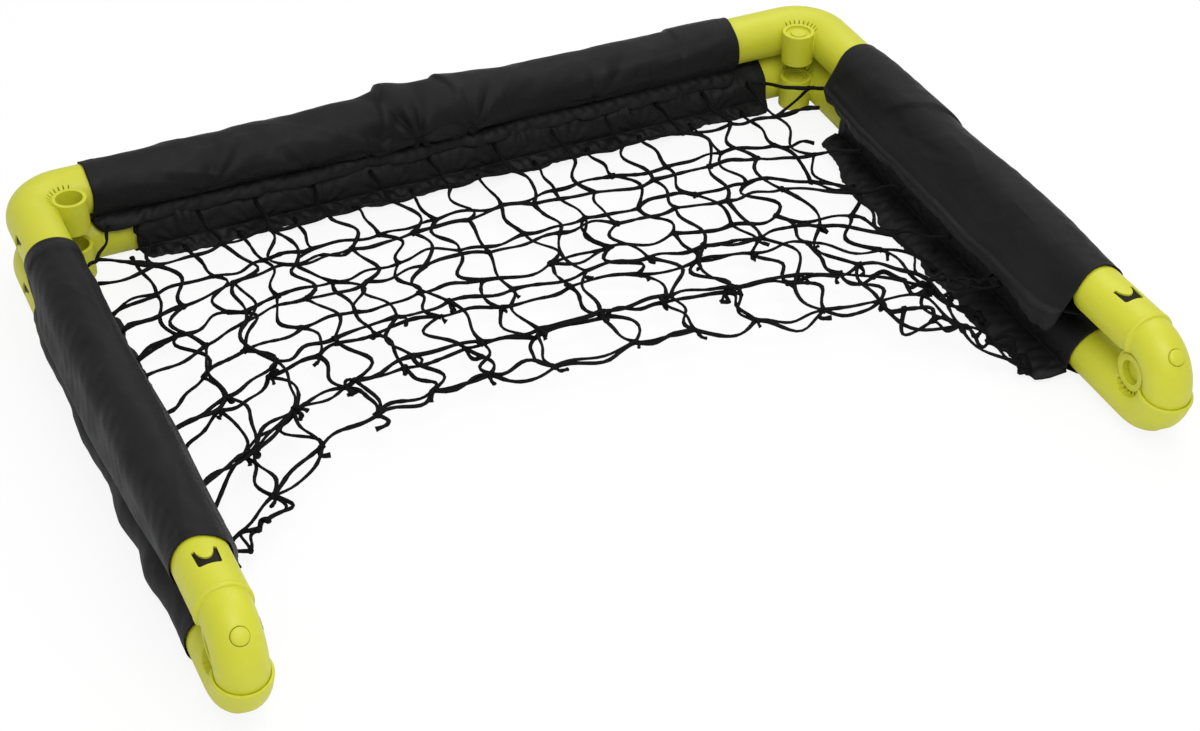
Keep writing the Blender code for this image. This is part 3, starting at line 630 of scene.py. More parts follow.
# The lock button is a round plastic head that a spring pushes out through the hood. Its rim is
# rounded, and the flange that keeps it in is hidden under the hood.
# The flange as (radius, underside, top), the last two down from the button's top.
FLANGE = (0.0080, 0.0414 - BUTTON_TOP, BUTTON_GAP + 0.0430 - BUTTON_TOP)
BUTTON_PROFILE = [
    (0.0002, 0.0), (0.0032, -0.0001), (0.0047, -0.0004), (0.0057, -0.0008), (0.0062, -0.0012),
    (0.0065, -0.0019), (0.0065, FLANGE[2]), (FLANGE[0], FLANGE[2]), (FLANGE[0], FLANGE[1]),
    (0.0002, FLANGE[1])]
head = turned("lock_button", [(radius, BUTTON_TOP + height) for radius, height in BUTTON_PROFILE][::-1])
aim = turn_about("X", BUTTON_ANGLE - math.pi / 2)
for side, sign in SIDES:
    piece_of(
        f"lock_button_head_{side}", head.data, goal_place(sign * HALF_WIDTH, 0.0, 0.0) @ aim,
        f"lock_button_{side}", f"lock_button_{side}", LIME)
bpy.data.objects.remove(head)


# The hinge pin runs through the cheeks, and a flat dished head fills the bottom of each ring.
PIN_HALF = [(0.0040, 0.0), (0.0040, 0.0081), (0.0096, 0.0081), (0.0096, 0.0087), (0.0090, 0.0089),
            (0.0050, 0.0084), (0.0003, 0.0083)]
pin = turned("hinge_pin", [(radius, -x) for radius, x in PIN_HALF[:0:-1]] + PIN_HALF, "X")
for side, sign in SIDES:
    piece_of(
        f"pin_{side}", pin.data, base_place(sign * HALF_WIDTH, 0.0, 0.0), "base_frame",
        f"hinge_pin_{side}", LIME)
bpy.data.objects.remove(pin)


# A small steel coil under each lock button pushes it out. It stands on the floor of the well in the
# hood.
SPRING_TURNS = 4
SPRING_RADIUS = 0.0050
SPRING_WIRE = 0.00045
SPRING_ENDS = (0.03175, 0.04065)


def steel_finish():
    """Bright drawn wire with fine marks."""
    finish = Finish("spring_steel", Metallic=1.0, Base_Color=(0.55, 0.55, 0.54, 1.0))
    marks = finish.noise(finish.place(), 900.0, 3.0)
    return finish.feed(Roughness=0.25 + marks * 0.2)


STEEL = steel_finish()
turn = np.linspace(0.0, 2 * math.pi * SPRING_TURNS, 40 * SPRING_TURNS + 1)
rise = np.linspace(*SPRING_ENDS, len(turn))
path = np.stack([SPRING_RADIUS * np.cos(turn), SPRING_RADIUS * np.sin(turn), rise], -1)
coil = sweep("lock_coil", path, np.full(len(turn), SPRING_WIRE), (0, 0, 1), 12)
for side, sign in SIDES:
    place = goal_place(sign * HALF_WIDTH, 0.0, 0.0) @ aim
    spring = piece_of(
        f"lock_coil_{side}", coil.data, place, "goal_frame", f"lock_spring_{side}", STEEL)
    foot = place @ np.array([0.0, 0.0, WELL[1], 1.0])
    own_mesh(spring)
bpy.data.objects.remove(coil)


# The tubes are extruded black plastic with a dull skin. Only slivers show, in the slots of the
# sockets, where each tube has a slightly wider seat at its end.
TUBE_RADIUS = 0.0180
TUBE_WALL = 0.0018
TUBE_STOP = 0.0163
TUBE_SEAT = (0.0197, 0.0020, 0.0450)  # radius, start, end
TUBE_EDGE = 0.0003
TUBE_CLOUDS = (0.007, 0.006, 0.004, 1.0), (0.015, 0.013, 0.008, 1.0)


def tube_finish():
    """Near-black plastic with fine cloudy wear."""
    finish = Finish("tube_plastic", Specular_IOR_Level=0.15)
    place = finish.place()
    cloud = finish.noise(place, 90.0, 4.0, 0.6)
    colour = finish.blend_colours(cloud, *TUBE_CLOUDS)
    rough = 0.45 + cloud * 0.2
    normal = finish.bump(finish.noise(place, 1500.0, 2.0), 0.00004, 0.5)
    return finish.feed(Base_Color=colour, Roughness=rough, Normal=normal)


TUBE = tube_finish()


def tube_mesh(length):
    """Open tube along +Y from the origin: the outer skin and the bore, joined at both ends."""
    edge, inner = TUBE_EDGE, TUBE_RADIUS - TUBE_WALL
    wide, start, end = TUBE_SEAT
    seat = [(TUBE_RADIUS - edge, 0.0), (TUBE_RADIUS, edge), (wide, start), (wide, end),
            (TUBE_RADIUS, end + 0.003)]
    mirrored = [(radius, length - height) for radius, height in reversed(seat)]
    profile = [(inner, edge), (inner + edge, 0.0), *seat, *mirrored,
               (inner + edge, length), (inner, length - edge), (inner, edge)]
    tube = turned("tube", profile, "Y", 64)
    weld = tube.modifiers.new("weld", "WELD")
    weld.merge_threshold = 1e-6
    settle(tube)
    mesh = tube.data
    bpy.data.objects.remove(tube)
    return mesh


side_length = FRAME_DEPTH - BEND_RADIUS - 2 * TUBE_STOP
back_length = 2 * (HALF_WIDTH - BEND_RADIUS - TUBE_STOP)
side_tube, back_tube = tube_mesh(side_length), tube_mesh(back_length)
lie = turn_about("Z", -math.pi / 2)
for side, sign in SIDES:
    piece_of(
        f"post_{side}", side_tube, goal_place(sign * HALF_WIDTH, TUBE_STOP, HINGE_REACH), "goal_frame",
        f"post_tube_{side}", TUBE)
    piece_of(
        f"rail_{side}", side_tube, base_place(sign * HALF_WIDTH, TUBE_STOP, -HINGE_REACH), "base_frame",
        f"side_rail_tube_{side}", TUBE)
piece_of(
    "crossbar", back_tube, goal_place(-back_length / 2, FRAME_DEPTH, HINGE_REACH) @ lie, "goal_frame",
    "crossbar_tube", TUBE)
piece_of(
    "back_bar", back_tube, base_place(-back_length / 2, FRAME_DEPTH, -HINGE_REACH) @ lie, "base_frame",
    "back_bar_tube", TUBE)


# Each tube wears a sleeve of thin black woven polyester. It is wrapped loosely round the tube, and its
# two edges are stitched together on the side of the net, where they make a doubled flap that the net
# is laced to. The ends are hemmed, and the cloth is lapped, creased and in places gathered.
SLEEVE_RADIUS = 0.0219
CLOTH_THICKNESS = 0.0005
AROUND = 132
EVERY = 0.0022
HEM = 0.0120
HEM_RISE = 0.00025
STITCH_DEPTH = 0.00035
FLAP_STEPS = 81
CREASE_SETS = (24, (0.06, 0.94)), (16, (0.70, 0.97))
CREASE_HEIGHT = 0.0012
SLACK_HEIGHT = 0.00030
RIPPLE_HEIGHT = 0.00012
GROUND = (0.0030, 0.0007)  # where pressing starts, lowest place
WEAVE_PITCH = 0.0005
# Painted light and shade: the cloth's two colours run from darker in the hollows of the long creases to
# lighter on their crests.
CLOTH_CREASE_SHADES = (0.0038, 0.0038, 0.0045, 1.0), (0.0068, 0.0068, 0.0078, 1.0)
CLOTH_DUST = (0.016, 0.016, 0.018, 1.0)


def cloth_finish():
    """Dull black plain weave with a soft bluish sheen, long fine creases and a little dust; the colour
    is painted lighter on the creases' crests and darker in their hollows, as light and shade.
    """
    finish = Finish("sleeve_cloth", Specular_IOR_Level=0.20, Sheen_Weight=0.012, Sheen_Roughness=0.40)
    finish.shader.inputs["Sheen Tint"].default_value = (0.80, 0.84, 1.0, 1.0)
    uv = finish.place("UV")
    across, along = finish.part(uv, 0), finish.part(uv, 1)
    threads = math.pi / WEAVE_PITCH
    weave = (along * threads).math("SINE") * (across * threads).math("SINE") * 0.5 + 0.5
    long_crease = finish.noise(finish.scaled(uv, (24.0, 13.0, 1.0)), 1.0, 1.4, 0.45)
    cross_crease = finish.noise(finish.scaled(uv, (13.0, 27.0, 1.0)), 1.0, 1.6, 0.45)
    ridge = (1.0 - (long_crease - 0.5).math("ABSOLUTE") * 6.0).math("MAXIMUM", 0.0).math("POWER", 2.0)
    fine = finish.noise(uv, 380.0, 3.0, 0.6)
    dust = finish.range(finish.noise(finish.scaled(uv, (18.0, 9.0, 1.0)), 1.0, 5.0, 0.65), 0.45, 0.80)
    # Painted shade in the crease hollows and painted light on their crests, from the same noise as the
    # creases' bump.
    colour = finish.blend_colours(long_crease, *CLOTH_CREASE_SHADES)
    colour = finish.blend_colours(dust * 0.35, colour, CLOTH_DUST)
    rough = 0.58 + weave * 0.08 - ridge * 0.08 + dust * 0.08
    height = weave * 0.00007 + fine * 0.00008 + long_crease * 0.0056
    height = height + cross_crease * 0.0040 + ridge * 0.0005
    normal = finish.bump(height, 1.0, 0.8)
    return finish.feed(Base_Color=colour, Roughness=rough, Normal=normal)


CLOTH = cloth_finish()


def waves(first, second, rng, counts, spans):
    """Sum of crossed waves with random directions, lengths and phases, from about -1 to 1."""
    total = np.zeros(np.broadcast(first, second).shape)
    for _ in range(counts):
        a = rng.uniform(0.5, 1.5) / spans[0]
        b = rng.choice([-1.0, 1.0]) * rng.uniform(0.4, 1.4) / spans[1]
        total += np.sin(2 * math.pi * (a * first + b * second) + rng.uniform(0, 2 * math.pi))
    return total / math.sqrt(counts)


def creases(along, around, rng, count, spans, size):
    """Random soft ridges: each is a line on the cloth with a rounded crest that fades at its ends.

    The lines lie within the first and last share of the way round, and have one steeper flank.
    """
    total = np.zeros(along.shape)
    length = along.max()
    for _ in range(count):
        at = rng.uniform(0.0, length)
        turn = rng.uniform(*spans)
        slope = rng.normal(0.0, 1.0)
        reach = rng.uniform(0.02, 0.10)
        width = rng.uniform(0.020, 0.050)
        height = size * rng.uniform(0.3, 1.0) * rng.choice([1.0, 1.0, -0.6])
        off = (around - turn) - slope * (along - at) - 0.02 * np.sin((along - at) / reach * 2.0)
        fade = np.exp(-((along - at) / reach) ** 2)
        lean = np.where(off > 0, 1.0, 0.45)
        total += height * fade * np.exp(-np.abs(off / (width * lean)) ** 1.6)
    return total


def fan_creases(along, from_seam, at, spokes, reach, size, lean=0.0, up=0.0):
    """Creases that run out like a fan from a gathered spot on the seam.

    The height is a cosine of the direction from the spot, which fades with distance and at the spot.
    """
    across = from_seam * SLEEVE_RADIUS - up
    off = along - at - lean * across
    distance = np.hypot(off, across) + 1e-6
    angle = np.arctan2(off, across + 0.004)
    fade = np.exp(-(distance / reach) ** 1.5) * (1.0 - np.exp(-(distance / 0.006) ** 2))
    return size * np.abs(np.cos(spokes * angle)) ** 1.5 * fade


def sleeve_sheet(name, length, seed, seam, reach, flap, hang, rough, drape=None, bulges=(),
                 laps=(), fans=(), gather=0.0010, crumple=0.0, welt=None):
    """Open cloth surface along +Y, with the net's side towards +X and up along +Z.

    The section starts at the flap's edge under it, runs to the seam, round the tube and back along
    the flap's upper layer. The part round the tube is a circle drawn out along its tangents to the
    seam, which lies at one angle and, by the reach table, at some distance along the sleeve, and in
    the same way to the slack line of drape. The flap is an arc: flap tables its width along the
    sleeve, and hang its direction in degrees across itself. Creases, a crumple and a welt (distance
    from the seam, height) raise the cloth, and so do bulges (place, span, height, angle, spread),
    laps (place, height, skew, side, fade) and fans (place, spokes, reach, size, lean, up). A place
    is a share of the length. Waves swing the flap up and down.
    """
    rng = np.random.default_rng(seed)
    rows = int(length / EVERY)
    along, around = np.meshgrid(
        np.linspace(0.0, length, rows), np.linspace(0.0, 1.0, AROUND), indexing="ij")
    flap_width = np.interp(along / length, *flap)
    widest = float(flap_width.max())
    share = widest / (2 * math.pi * SLEEVE_RADIUS + 2 * widest + 0.02)
    out = np.clip(np.maximum(1.0 - around / share, 1.0 - (1.0 - around) / share), 0.0, 1.0)
    turn = 2 * math.pi * np.clip((around - share) / (1.0 - 2 * share), 0.0, 1.0)
    from_seam = np.minimum(turn, 2 * math.pi - turn)
    ends = np.minimum(along, length - along)
    polar = math.radians(seam) - turn

    def ripple(count, span):
        """Waves along the sleeve only."""
        return waves(along, 0 * along, rng, count, (span, 1.0))

    def away(angle):
        """Angle round the tube from some direction in degrees, within half a turn."""
        return np.angle(np.exp(1j * (polar - math.radians(angle))))

    def drawn_out(distance, off):
        """Radius of the circle with its tangents from a point at some distance."""
        return SLEEVE_RADIUS / np.cos(np.maximum(np.arccos(SLEEVE_RADIUS / distance) - off, 0.0))

    seam_reach = np.interp(along / length, *reach)
    tangent = np.arccos(SLEEVE_RADIUS / seam_reach)
    radius = np.where(from_seam < tangent, drawn_out(seam_reach, from_seam), SLEEVE_RADIUS)
    if drape is not None:
        angle, hanging = drape
        hanging = np.interp(along / length, *hanging)
        off = np.sqrt(away(angle) ** 2 + 0.01) - 0.1
        slack = off < np.arccos(SLEEVE_RADIUS / hanging)
        radius = np.maximum(radius, np.where(slack, drawn_out(hanging, off), 0.0))

    body = np.clip(from_seam / 0.8, 0.0, 1.0)
    upper = 0.5 * (1.0 + np.sin(polar))
    lift = sum(creases(along, around, rng, int(count * length * rough), spans, CREASE_HEIGHT)
               for count, spans in CREASE_SETS)
    lift += SLACK_HEIGHT * (waves(along, around, rng, 7, (0.11, 0.35)) + 1.0)
    lift += RIPPLE_HEIGHT * rough * waves(along, around, rng, 9, (0.022, 0.10))
    if crumple:
        ruffles = waves(along, around, rng, 6, (0.018, 0.30))
        ruffles = ruffles + 0.7 * waves(along, around, rng, 6, (0.010, 0.22))
        patches = np.clip(0.5 + 0.5 * waves(along, around, rng, 5, (0.07, 0.5)), 0.1, 1.2)
        lift += crumple * np.abs(ruffles) * patches * np.clip((2.2 - from_seam) / 0.8, 0.0, 1.0)
    for at, span, height, angle, spread in bulges:
        off = away(angle) / math.radians(spread)
        lift += height * np.exp(-((along / length - at) / span) ** 2 - off ** 2)
    for at, height, skew, side, fade in laps:
        edge = side * (along - at * length - skew * (from_seam - 1.8))
        wavy = edge + 0.0015 * waves(from_seam, along, rng, 4, (1.2, 0.3))
        step = 0.5 + 0.5 * np.tanh(wavy / 0.0012)
        lift += height * upper ** 0.5 * step * np.exp(-np.maximum(edge, 0.0) / fade)
    folds = np.zeros(along.shape)
    for at, *look in fans:
        folds += fan_creases(along, from_seam, at * length, *look)
    folds *= np.clip(from_seam / 0.25, 0.0, 1.0)
    if welt is not None:
        beyond = SLEEVE_RADIUS * (np.tan(tangent) - np.tan(np.maximum(tangent - from_seam, 0.0)))
        beyond = beyond - welt[0] - 0.0008 * ripple(4, 0.09)
        folds += welt[1] * np.exp(-(beyond / 0.0030) ** 4) * (around > 0.5)
    calm = np.clip(ends / 0.015, 0.2, 1.0)
    hem = HEM_RISE * (1.0 + np.tanh((HEM - ends) / 0.0008))
    stitch = STITCH_DEPTH * np.exp(-((ends - HEM) / 0.0009) ** 2)
    stitch = stitch * (0.6 + 0.4 * np.sin(around * 400.0))
    radius = radius + (np.maximum(lift, -0.0004) * body + folds) * calm + hem - stitch

    steps = np.linspace(0.0, 1.0, FLAP_STEPS)
    facing = np.radians(np.interp(steps, *hang))
    face = np.interp(out, steps, facing)
    ahead = np.interp(out, steps, np.cumsum(np.cos(facing)) / FLAP_STEPS)
    down = np.interp(out, steps, np.cumsum(np.sin(facing)) / FLAP_STEPS)
    swing, pucker = ripple(5, 0.10), ripple(6, 0.020)
    width = flap_width * (1.0 + 0.07 * ripple(6, 0.05) - 0.04 * np.abs(pucker))
    width = width * np.clip(ends / 0.007, 0.0, 1.0) ** 0.5 + 0.0015
    off = np.where(around < 0.5, -1.0, 1.0) * 0.0002 * np.clip(out * 6, 0.0, 1.0)
    off = off + gather * out ** 1.3 * (1.6 * swing + 0.5 * pucker)
    off = off + crumple * 1.2 * np.sin(math.pi * out) * waves(along, out, rng, 6, (0.014, 1.5))
    x = radius * np.cos(polar) + width * ahead - off * np.sin(face)
    z = radius * np.sin(polar) + width * down + off * np.cos(face)
    loose = np.clip(1.0 - ends / 0.03, 0.0, 1.0)
    y = along + 0.0010 * waves(along, around, rng, 4, (0.2, 0.25)) * loose

    index = np.arange(rows * AROUND).reshape(rows, AROUND)
    quads = np.stack([index[:-1, :-1], index[:-1, 1:], index[1:, 1:], index[1:, :-1]], -1).reshape(-1, 4)
    mesh = bpy.data.meshes.new(name)
    mesh.from_pydata(np.stack([x, y, z], -1).reshape(-1, 3).tolist(), [], quads.tolist())
    slack = float(np.mean(seam_reach)) - SLEEVE_RADIUS
    cut_width = 2 * math.pi * SLEEVE_RADIUS + 2 * widest + 2 * slack
    corners = np.stack([around * cut_width, along], -1).reshape(-1, 2)[quads.reshape(-1)]
    layer = mesh.uv_layers.new(name="cloth")
    layer.data.foreach_set("uv", corners.reshape(-1).astype(np.float32))
    return mesh, (cut_width, length)


def lay_sleeve(name, sheet, matrix, body, node):
    """Put a sleeve in its place and thicken the cloth.

    Cloth that would reach the ground is flattened towards it over the last stretch of height.
    """
    mesh, flat_size = sheet
    obj = shift(in_scene(name, mesh), matrix)
    places = np.zeros(len(mesh.vertices) * 3)
    mesh.vertices.foreach_get("co", places)
    height = places[2::3]
    near, lowest = GROUND
    least = min(height.min(), lowest)
    pressed = near - (near - height) * (near - lowest) / (near - least)
    places[2::3] = np.where(height < near, pressed, height)
    mesh.vertices.foreach_set("co", places)
    obj.data.materials.append(CLOTH)
    obj.data.shade_smooth()
    thick = obj.modifiers.new("cloth", "SOLIDIFY")
    thick.thickness = CLOTH_THICKNESS
    thick.offset = 1.0
    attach(obj, body)
    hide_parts(node)
    return obj


def evenly(*values):
    """A table that is the same, or changes evenly, from one end to the other."""
    return (0, 1), (values[0], values[-1])


def gathers(places, reach, size):
    """The same small fan of creases at several places along the seam."""
    return tuple((at, 7.0, reach, size, 0.0) for at in places)


SLEEVE_SPANS = {
    "crossbar": (-0.3172, 0.2820), "back_bar": (-0.2840, 0.3120),
    "post_left": (0.0530, 0.4460), "post_right": (0.0700, 0.4520),
    "rail_left": (0.0350, 0.4420), "rail_right": (0.0630, 0.4380)}
SLEEVE_LOOKS = {
    "crossbar": dict(
        seed=11, seam=-60.0, reach=evenly(0.0245), flap=evenly(0.0135), hang=evenly(-12.0, -85.0),
        bulges=((0.47, 0.07, 0.0030, 100.0, 60.0), (0.60, 0.10, 0.0014, 20.0, 40.0),
                (0.25, 0.14, 0.0022, -10.0, 40.0), (0.85, 0.10, 0.0012, -5.0, 40.0)),
        laps=((0.425, 0.0046, 0.006, 1.0, 0.05), (0.545, 0.0034, -0.010, 1.0, 0.04),
              (0.905, 0.0020, 0.0, 1.0, 0.10)),
        fans=((0.475, 3.5, 0.050, 0.0068, -0.4, 0.020), (0.56, 4.0, 0.040, 0.0042, 0.4, 0.018),
              (0.41, 3.0, 0.040, 0.0036, 0.5, 0.016), (0.16, 4.0, 0.045, 0.0030, 0.8, 0.012),
              (0.31, 3.0, 0.045, 0.0026, -0.6, 0.012), (0.76, 3.5, 0.045, 0.0024, 0.5, 0.012)),
        rough=1.2, crumple=0.0006, gather=0.0016),
    "back_bar": dict(
        seed=12, seam=-22.0, reach=evenly(0.0250), flap=evenly(0.0125), hang=evenly(-14.0, -34.0),
        fans=gathers((0.06, 0.17, 0.27, 0.38, 0.47, 0.55, 0.66, 0.78, 0.90), 0.028, 0.0024),
        rough=2.2, crumple=0.0016, gather=0.0016),
    "post_left": dict(
        seed=13, seam=-25.0,
        reach=((0, 0.06, 0.45, 0.65, 0.94, 1), (0.026, 0.033, 0.034, 0.0295, 0.027, 0.025)),
        flap=((0, 0.45, 0.6, 1), (0.010, 0.012, 0.015, 0.015)), hang=evenly(-75.0, -98.0),
        drape=(222.0, ((0, 0.2, 0.5, 0.85, 1), (0.0235, 0.030, 0.0365, 0.036, 0.025))),
        bulges=((0.75, 0.20, 0.0020, 150.0, 50.0), (0.35, 0.2, 0.0016, 160.0, 45.0)),
        laps=((0.955, 0.0014, 0.0, 1.0, 0.20),), rough=1.0),
    "post_right": dict(
        seed=14, seam=-20.0, reach=((0, 0.06, 0.4, 0.9, 1), (0.032, 0.0395, 0.0395, 0.0365, 0.034)),
        flap=((0, 0.12, 0.2, 1), (0.0230, 0.0200, 0.0120, 0.0120)),
        hang=((0, 0.3, 0.45, 1), (-30.0, -35.0, -100.0, -95.0)), welt=(0.0035, 0.0016),
        bulges=((0.30, 0.22, 0.0042, 135.0, 45.0), (0.85, 0.15, 0.0020, 135.0, 45.0)),
        laps=((0.70, 0.0030, -0.020, 1.0, 0.12),), rough=1.0),
    "rail_left": dict(
        seed=15, seam=-22.0, reach=evenly(0.0250),
        flap=((0, 0.4, 0.6, 1), (0.0130, 0.0150, 0.0200, 0.0200)), hang=evenly(-12.0, -26.0),
        bulges=((0.20, 0.055, 0.0045, 185.0, 55.0), (0.36, 0.06, 0.0050, 180.0, 50.0),
                (0.62, 0.12, 0.0050, 175.0, 50.0), (0.88, 0.10, 0.0045, 175.0, 50.0)), rough=1.3),
    "rail_right": dict(
        seed=16, seam=-25.0, reach=evenly(0.0255),
        flap=((0, 0.15, 0.8, 1), (0.0270, 0.0320, 0.0290, 0.0170)),
        hang=((0, 0.4, 1), (-4.0, -6.0, -26.0)),
        fans=gathers((0.15, 0.36, 0.55, 0.72, 0.90), 0.030, 0.0018),
        rough=1.6, crumple=0.0014, gather=0.0014)}


def sewn(name, tube):
    """The sheet of one tube's sleeve, by its span and its looks."""
    low, high = SLEEVE_SPANS[tube]
    return sleeve_sheet(name, high - low, **SLEEVE_LOOKS[tube])


inward_back = turn_about("Z", -math.pi / 2)
lay_sleeve(
    "crossbar_cloth", sewn("crossbar_cloth", "crossbar"),
    goal_place(SLEEVE_SPANS["crossbar"][0], FRAME_DEPTH, HINGE_REACH) @ inward_back,
    "goal_frame", "crossbar_sleeve")
lay_sleeve(
    "back_bar_cloth", sewn("back_bar_cloth", "back_bar"),
    base_place(SLEEVE_SPANS["back_bar"][0], FRAME_DEPTH, -HINGE_REACH) @ inward_back,
    "base_frame", "back_bar_sleeve")
for side, sign in SIDES:
    face = np.diag([-sign, 1.0, 1.0, 1.0])
    start = SLEEVE_SPANS[f"post_{side}"][0]
    lay_sleeve(
        f"post_cloth_{side}", sewn(f"post_cloth_{side}", f"post_{side}"),
        goal_place(sign * HALF_WIDTH, start, HINGE_REACH) @ face, "goal_frame",
        f"post_sleeve_{side}")
    start = SLEEVE_SPANS[f"rail_{side}"][0]
    lay_sleeve(
        f"rail_cloth_{side}", sewn(f"rail_cloth_{side}", f"rail_{side}"),
        base_place(sign * HALF_WIDTH, start, -HINGE_REACH) @ face, "base_frame",
        f"side_rail_sleeve_{side}")


# The net is one sheet of knotted black twine, laced to every sleeve's flap. Folded, it lies in two
# sagging layers that meet in an arched fold in front. It is made in chains: the rows of knots, half
# columns, and the rows' ends.
NET_CELLS = (13, 12)
NET_SIDE = HALF_WIDTH - 0.0330
# On each side, the rows' ends as (distance inwards from the tube, height), below and above.
NET_ENDS = {
    "left": ((0.0400, 0.0080), (0.0345, 0.0420)), "right": ((0.0500, 0.0110), (0.0400, 0.0480))}
NET_BACK = (0.5080, 0.5200)
NET_FOLD = np.array([
    (-1.0, 0.115), (-0.86, 0.152), (-0.73, 0.190), (-0.55, 0.212), (-0.2, 0.218), (0.15, 0.210),
    (0.5, 0.198), (0.69, 0.178), (0.78, 0.155), (0.86, 0.125), (0.94, 0.090), (1.0, 0.072)])
NET_HEIGHTS = (0.0110, 0.0290, 0.0335)
NET_OFFSET = 0.0110
TWINE_HALF_WIDTHS = (0.00175, 0.00120)
KNOT_SIZE = (0.0025, 0.0035, 0.0021)  # half axes
TAIL_LENGTH = (0.006, 0.012)
KNOT_SLACK = np.array([0.0034, 0.0014, 0.0008])
SNARL_SLACK = np.array([0.0025, 0.0035, 0.0012])
BRAID_PITCH = 2400.0
TWINE_CLOUDS = (0.0025, 0.0025, 0.0028, 1.0), (0.0100, 0.0100, 0.0110, 1.0)
FAR = 100.0


def twine_finish():
    """Near-black braided twine: fine slanting ribs and a little grey fuzz."""
    finish = Finish("net_twine", Specular_IOR_Level=0.06)
    uv = finish.place("UV")
    wound, along = finish.part(uv, 0) * (2 * math.pi * 3), finish.part(uv, 1) * BRAID_PITCH
    braid = (along + wound).math("SINE").math("MAXIMUM", (along - wound).math("SINE"))
    fuzz = finish.noise(finish.place(), 700.0, 4.0, 0.7)
    colour = finish.blend_colours(fuzz, *TWINE_CLOUDS)
    rough = 0.62 + fuzz * 0.2
    normal = finish.bump(braid * 0.00012 + fuzz * 0.00010, 1.0, 0.8)
    return finish.feed(Base_Color=colour, Roughness=rough, Normal=normal)


def net_knots(run, fold):
    """Places of the knots as (rows, columns, 3), rows running from the back bar round to the crossbar.

    Each column is stretched between the bars and its place on the fold, the rows at shares of it.
    The columns stand closer together towards the sides, and each layer sags between its ends.
    """
    rng = np.random.default_rng(21)
    columns, rows = NET_CELLS
    u = np.linspace(-1.0, 1.0, columns + 1)[None, :]
    upper = np.arange(rows + 1)[:, None] > rows // 2
    run = run[:, None]
    bar_y = np.where(upper, NET_BACK[1], NET_BACK[0])
    bar_z = np.where(upper, NET_HEIGHTS[2], NET_HEIGHTS[0])
    x = NET_SIDE * np.sign(u) * np.abs(u) ** 0.93
    x = x + NET_OFFSET * np.where(upper, 1.0, -1.0) * np.sqrt(1.0 - run) * (1.0 - np.abs(u) ** 4)
    y = bar_y - (bar_y - fold) * run
    z = bar_z + (NET_HEIGHTS[1] - bar_z) * run ** 1.8
    free = np.clip((1.0 - np.abs(u)) * columns / 2, 0.0, 1.0) * np.clip(run * rows / 2, 0.0, 1.0)
    slack = rng.normal(0.0, 1.0, (3, rows + 1, columns + 1)) * KNOT_SLACK[:, None, None]
    slack = np.clip(slack, -0.010, 0.010) * free
    places = np.stack([x + slack[0], PIVOT[1] + y + slack[1], z + slack[2]], -1)
    for (side, spots), edge, sign in zip(NET_ENDS.items(), (0, columns), (-1.0, 1.0)):
        places[:, edge, 0] = sign * (HALF_WIDTH - np.where(upper[:, 0], spots[1][0], spots[0][0]))
        lean = spots[1][1] - math.tan(REST_TILT) * y[:, edge]
        places[:, edge, 2] = np.where(upper[:, 0], lean, spots[0][1])
    return places


def strand_lines(starts, ends, rng, points=13, bow=0.15, swing=0.06, sag=0.002, doubled=0.04):
    """Centre lines between pairs of points, each bowed and swung aside by its own amount.

    A share of them is doubled by a second strand with another bow.
    """
    again = rng.uniform(0.0, 1.0, len(starts)) < doubled
    starts, ends = np.concatenate([starts, starts[again]]), np.concatenate([ends, ends[again]])
    t = np.linspace(0.0, 1.0, points)[None, :, None]
    line = starts[:, None] + (ends - starts)[:, None] * t
    gap = np.linalg.norm(ends - starts, axis=1)
    flat = (ends - starts) * np.array([1.0, 1.0, 0.0])
    aside = np.cross(np.array([0.0, 0.0, 1.0]), flat)
    aside /= np.maximum(np.linalg.norm(aside, axis=1), 1e-9)[:, None]
    bows = np.clip(rng.normal(0.0, bow, len(gap)), -2 * bow, 2 * bow) * gap
    swings = rng.normal(0.0, swing, len(gap)) * gap
    wiggles = rng.normal(0.0, 0.02, len(gap)) * gap
    off = bows[:, None, None] * np.sin(math.pi * t) + swings[:, None, None] * np.sin(2 * math.pi * t)
    off = off + wiggles[:, None, None] * np.sin(3 * math.pi * t)
    drop = rng.normal(0.0, sag, len(gap))[:, None, None] * np.sin(math.pi * t)
    return line + off * aside[:, None] + drop * np.array([0.0, 0.0, 1.0])


def twine_skin(lines, rng, around=8):
    """Flat twine along (strands, points, 3) lines: an ellipse that turns slowly about the line."""
    strands, points = lines.shape[:2]
    along = np.gradient(lines, axis=1)
    along /= np.linalg.norm(along, axis=2)[..., None]
    side = np.cross(along, np.array([0.0, 0.0, 1.0]))
    side /= np.maximum(np.linalg.norm(side, axis=2), 1e-9)[..., None]
    high = np.cross(side, along)
    t = np.linspace(0.0, 1.0, points)[None, :]
    roll = rng.uniform(0, math.pi, (strands, 1)) + rng.normal(0.0, 2.2, (strands, 1)) * t
    swell = 1.0 + 0.35 * (np.abs(2 * t - 1) ** 6) + rng.normal(0.0, 0.08, (strands, points))
    turn = np.linspace(0.0, 2 * math.pi, around, endpoint=False)
    a = TWINE_HALF_WIDTHS[0] * np.cos(turn)[None, None] * swell[..., None]
    b = TWINE_HALF_WIDTHS[1] * np.sin(turn)[None, None] * swell[..., None]
    p = a * np.cos(roll)[..., None] - b * np.sin(roll)[..., None]
    q = a * np.sin(roll)[..., None] + b * np.cos(roll)[..., None]
    skin = lines[:, :, None] + p[..., None] * side[:, :, None] + q[..., None] * high[:, :, None]
    index = np.arange(strands * points * around).reshape(strands, points, around)
    quads = np.stack([
        index[:, :-1], np.roll(index[:, :-1], -1, 2), np.roll(index[:, 1:], -1, 2), index[:, 1:]], -1)
    caps = np.concatenate([index[:, 0, ::-1], index[:, -1]])
    run = np.cumsum(np.linalg.norm(np.diff(lines, axis=1, prepend=lines[:, :1]), axis=2), axis=1)
    uv = np.stack(np.broadcast_arrays(turn[None, None] / (2 * math.pi), run[..., None]), -1)
    return skin.reshape(-1, 3), quads.reshape(-1, 4).tolist(), caps.tolist(), uv.reshape(-1, 2)


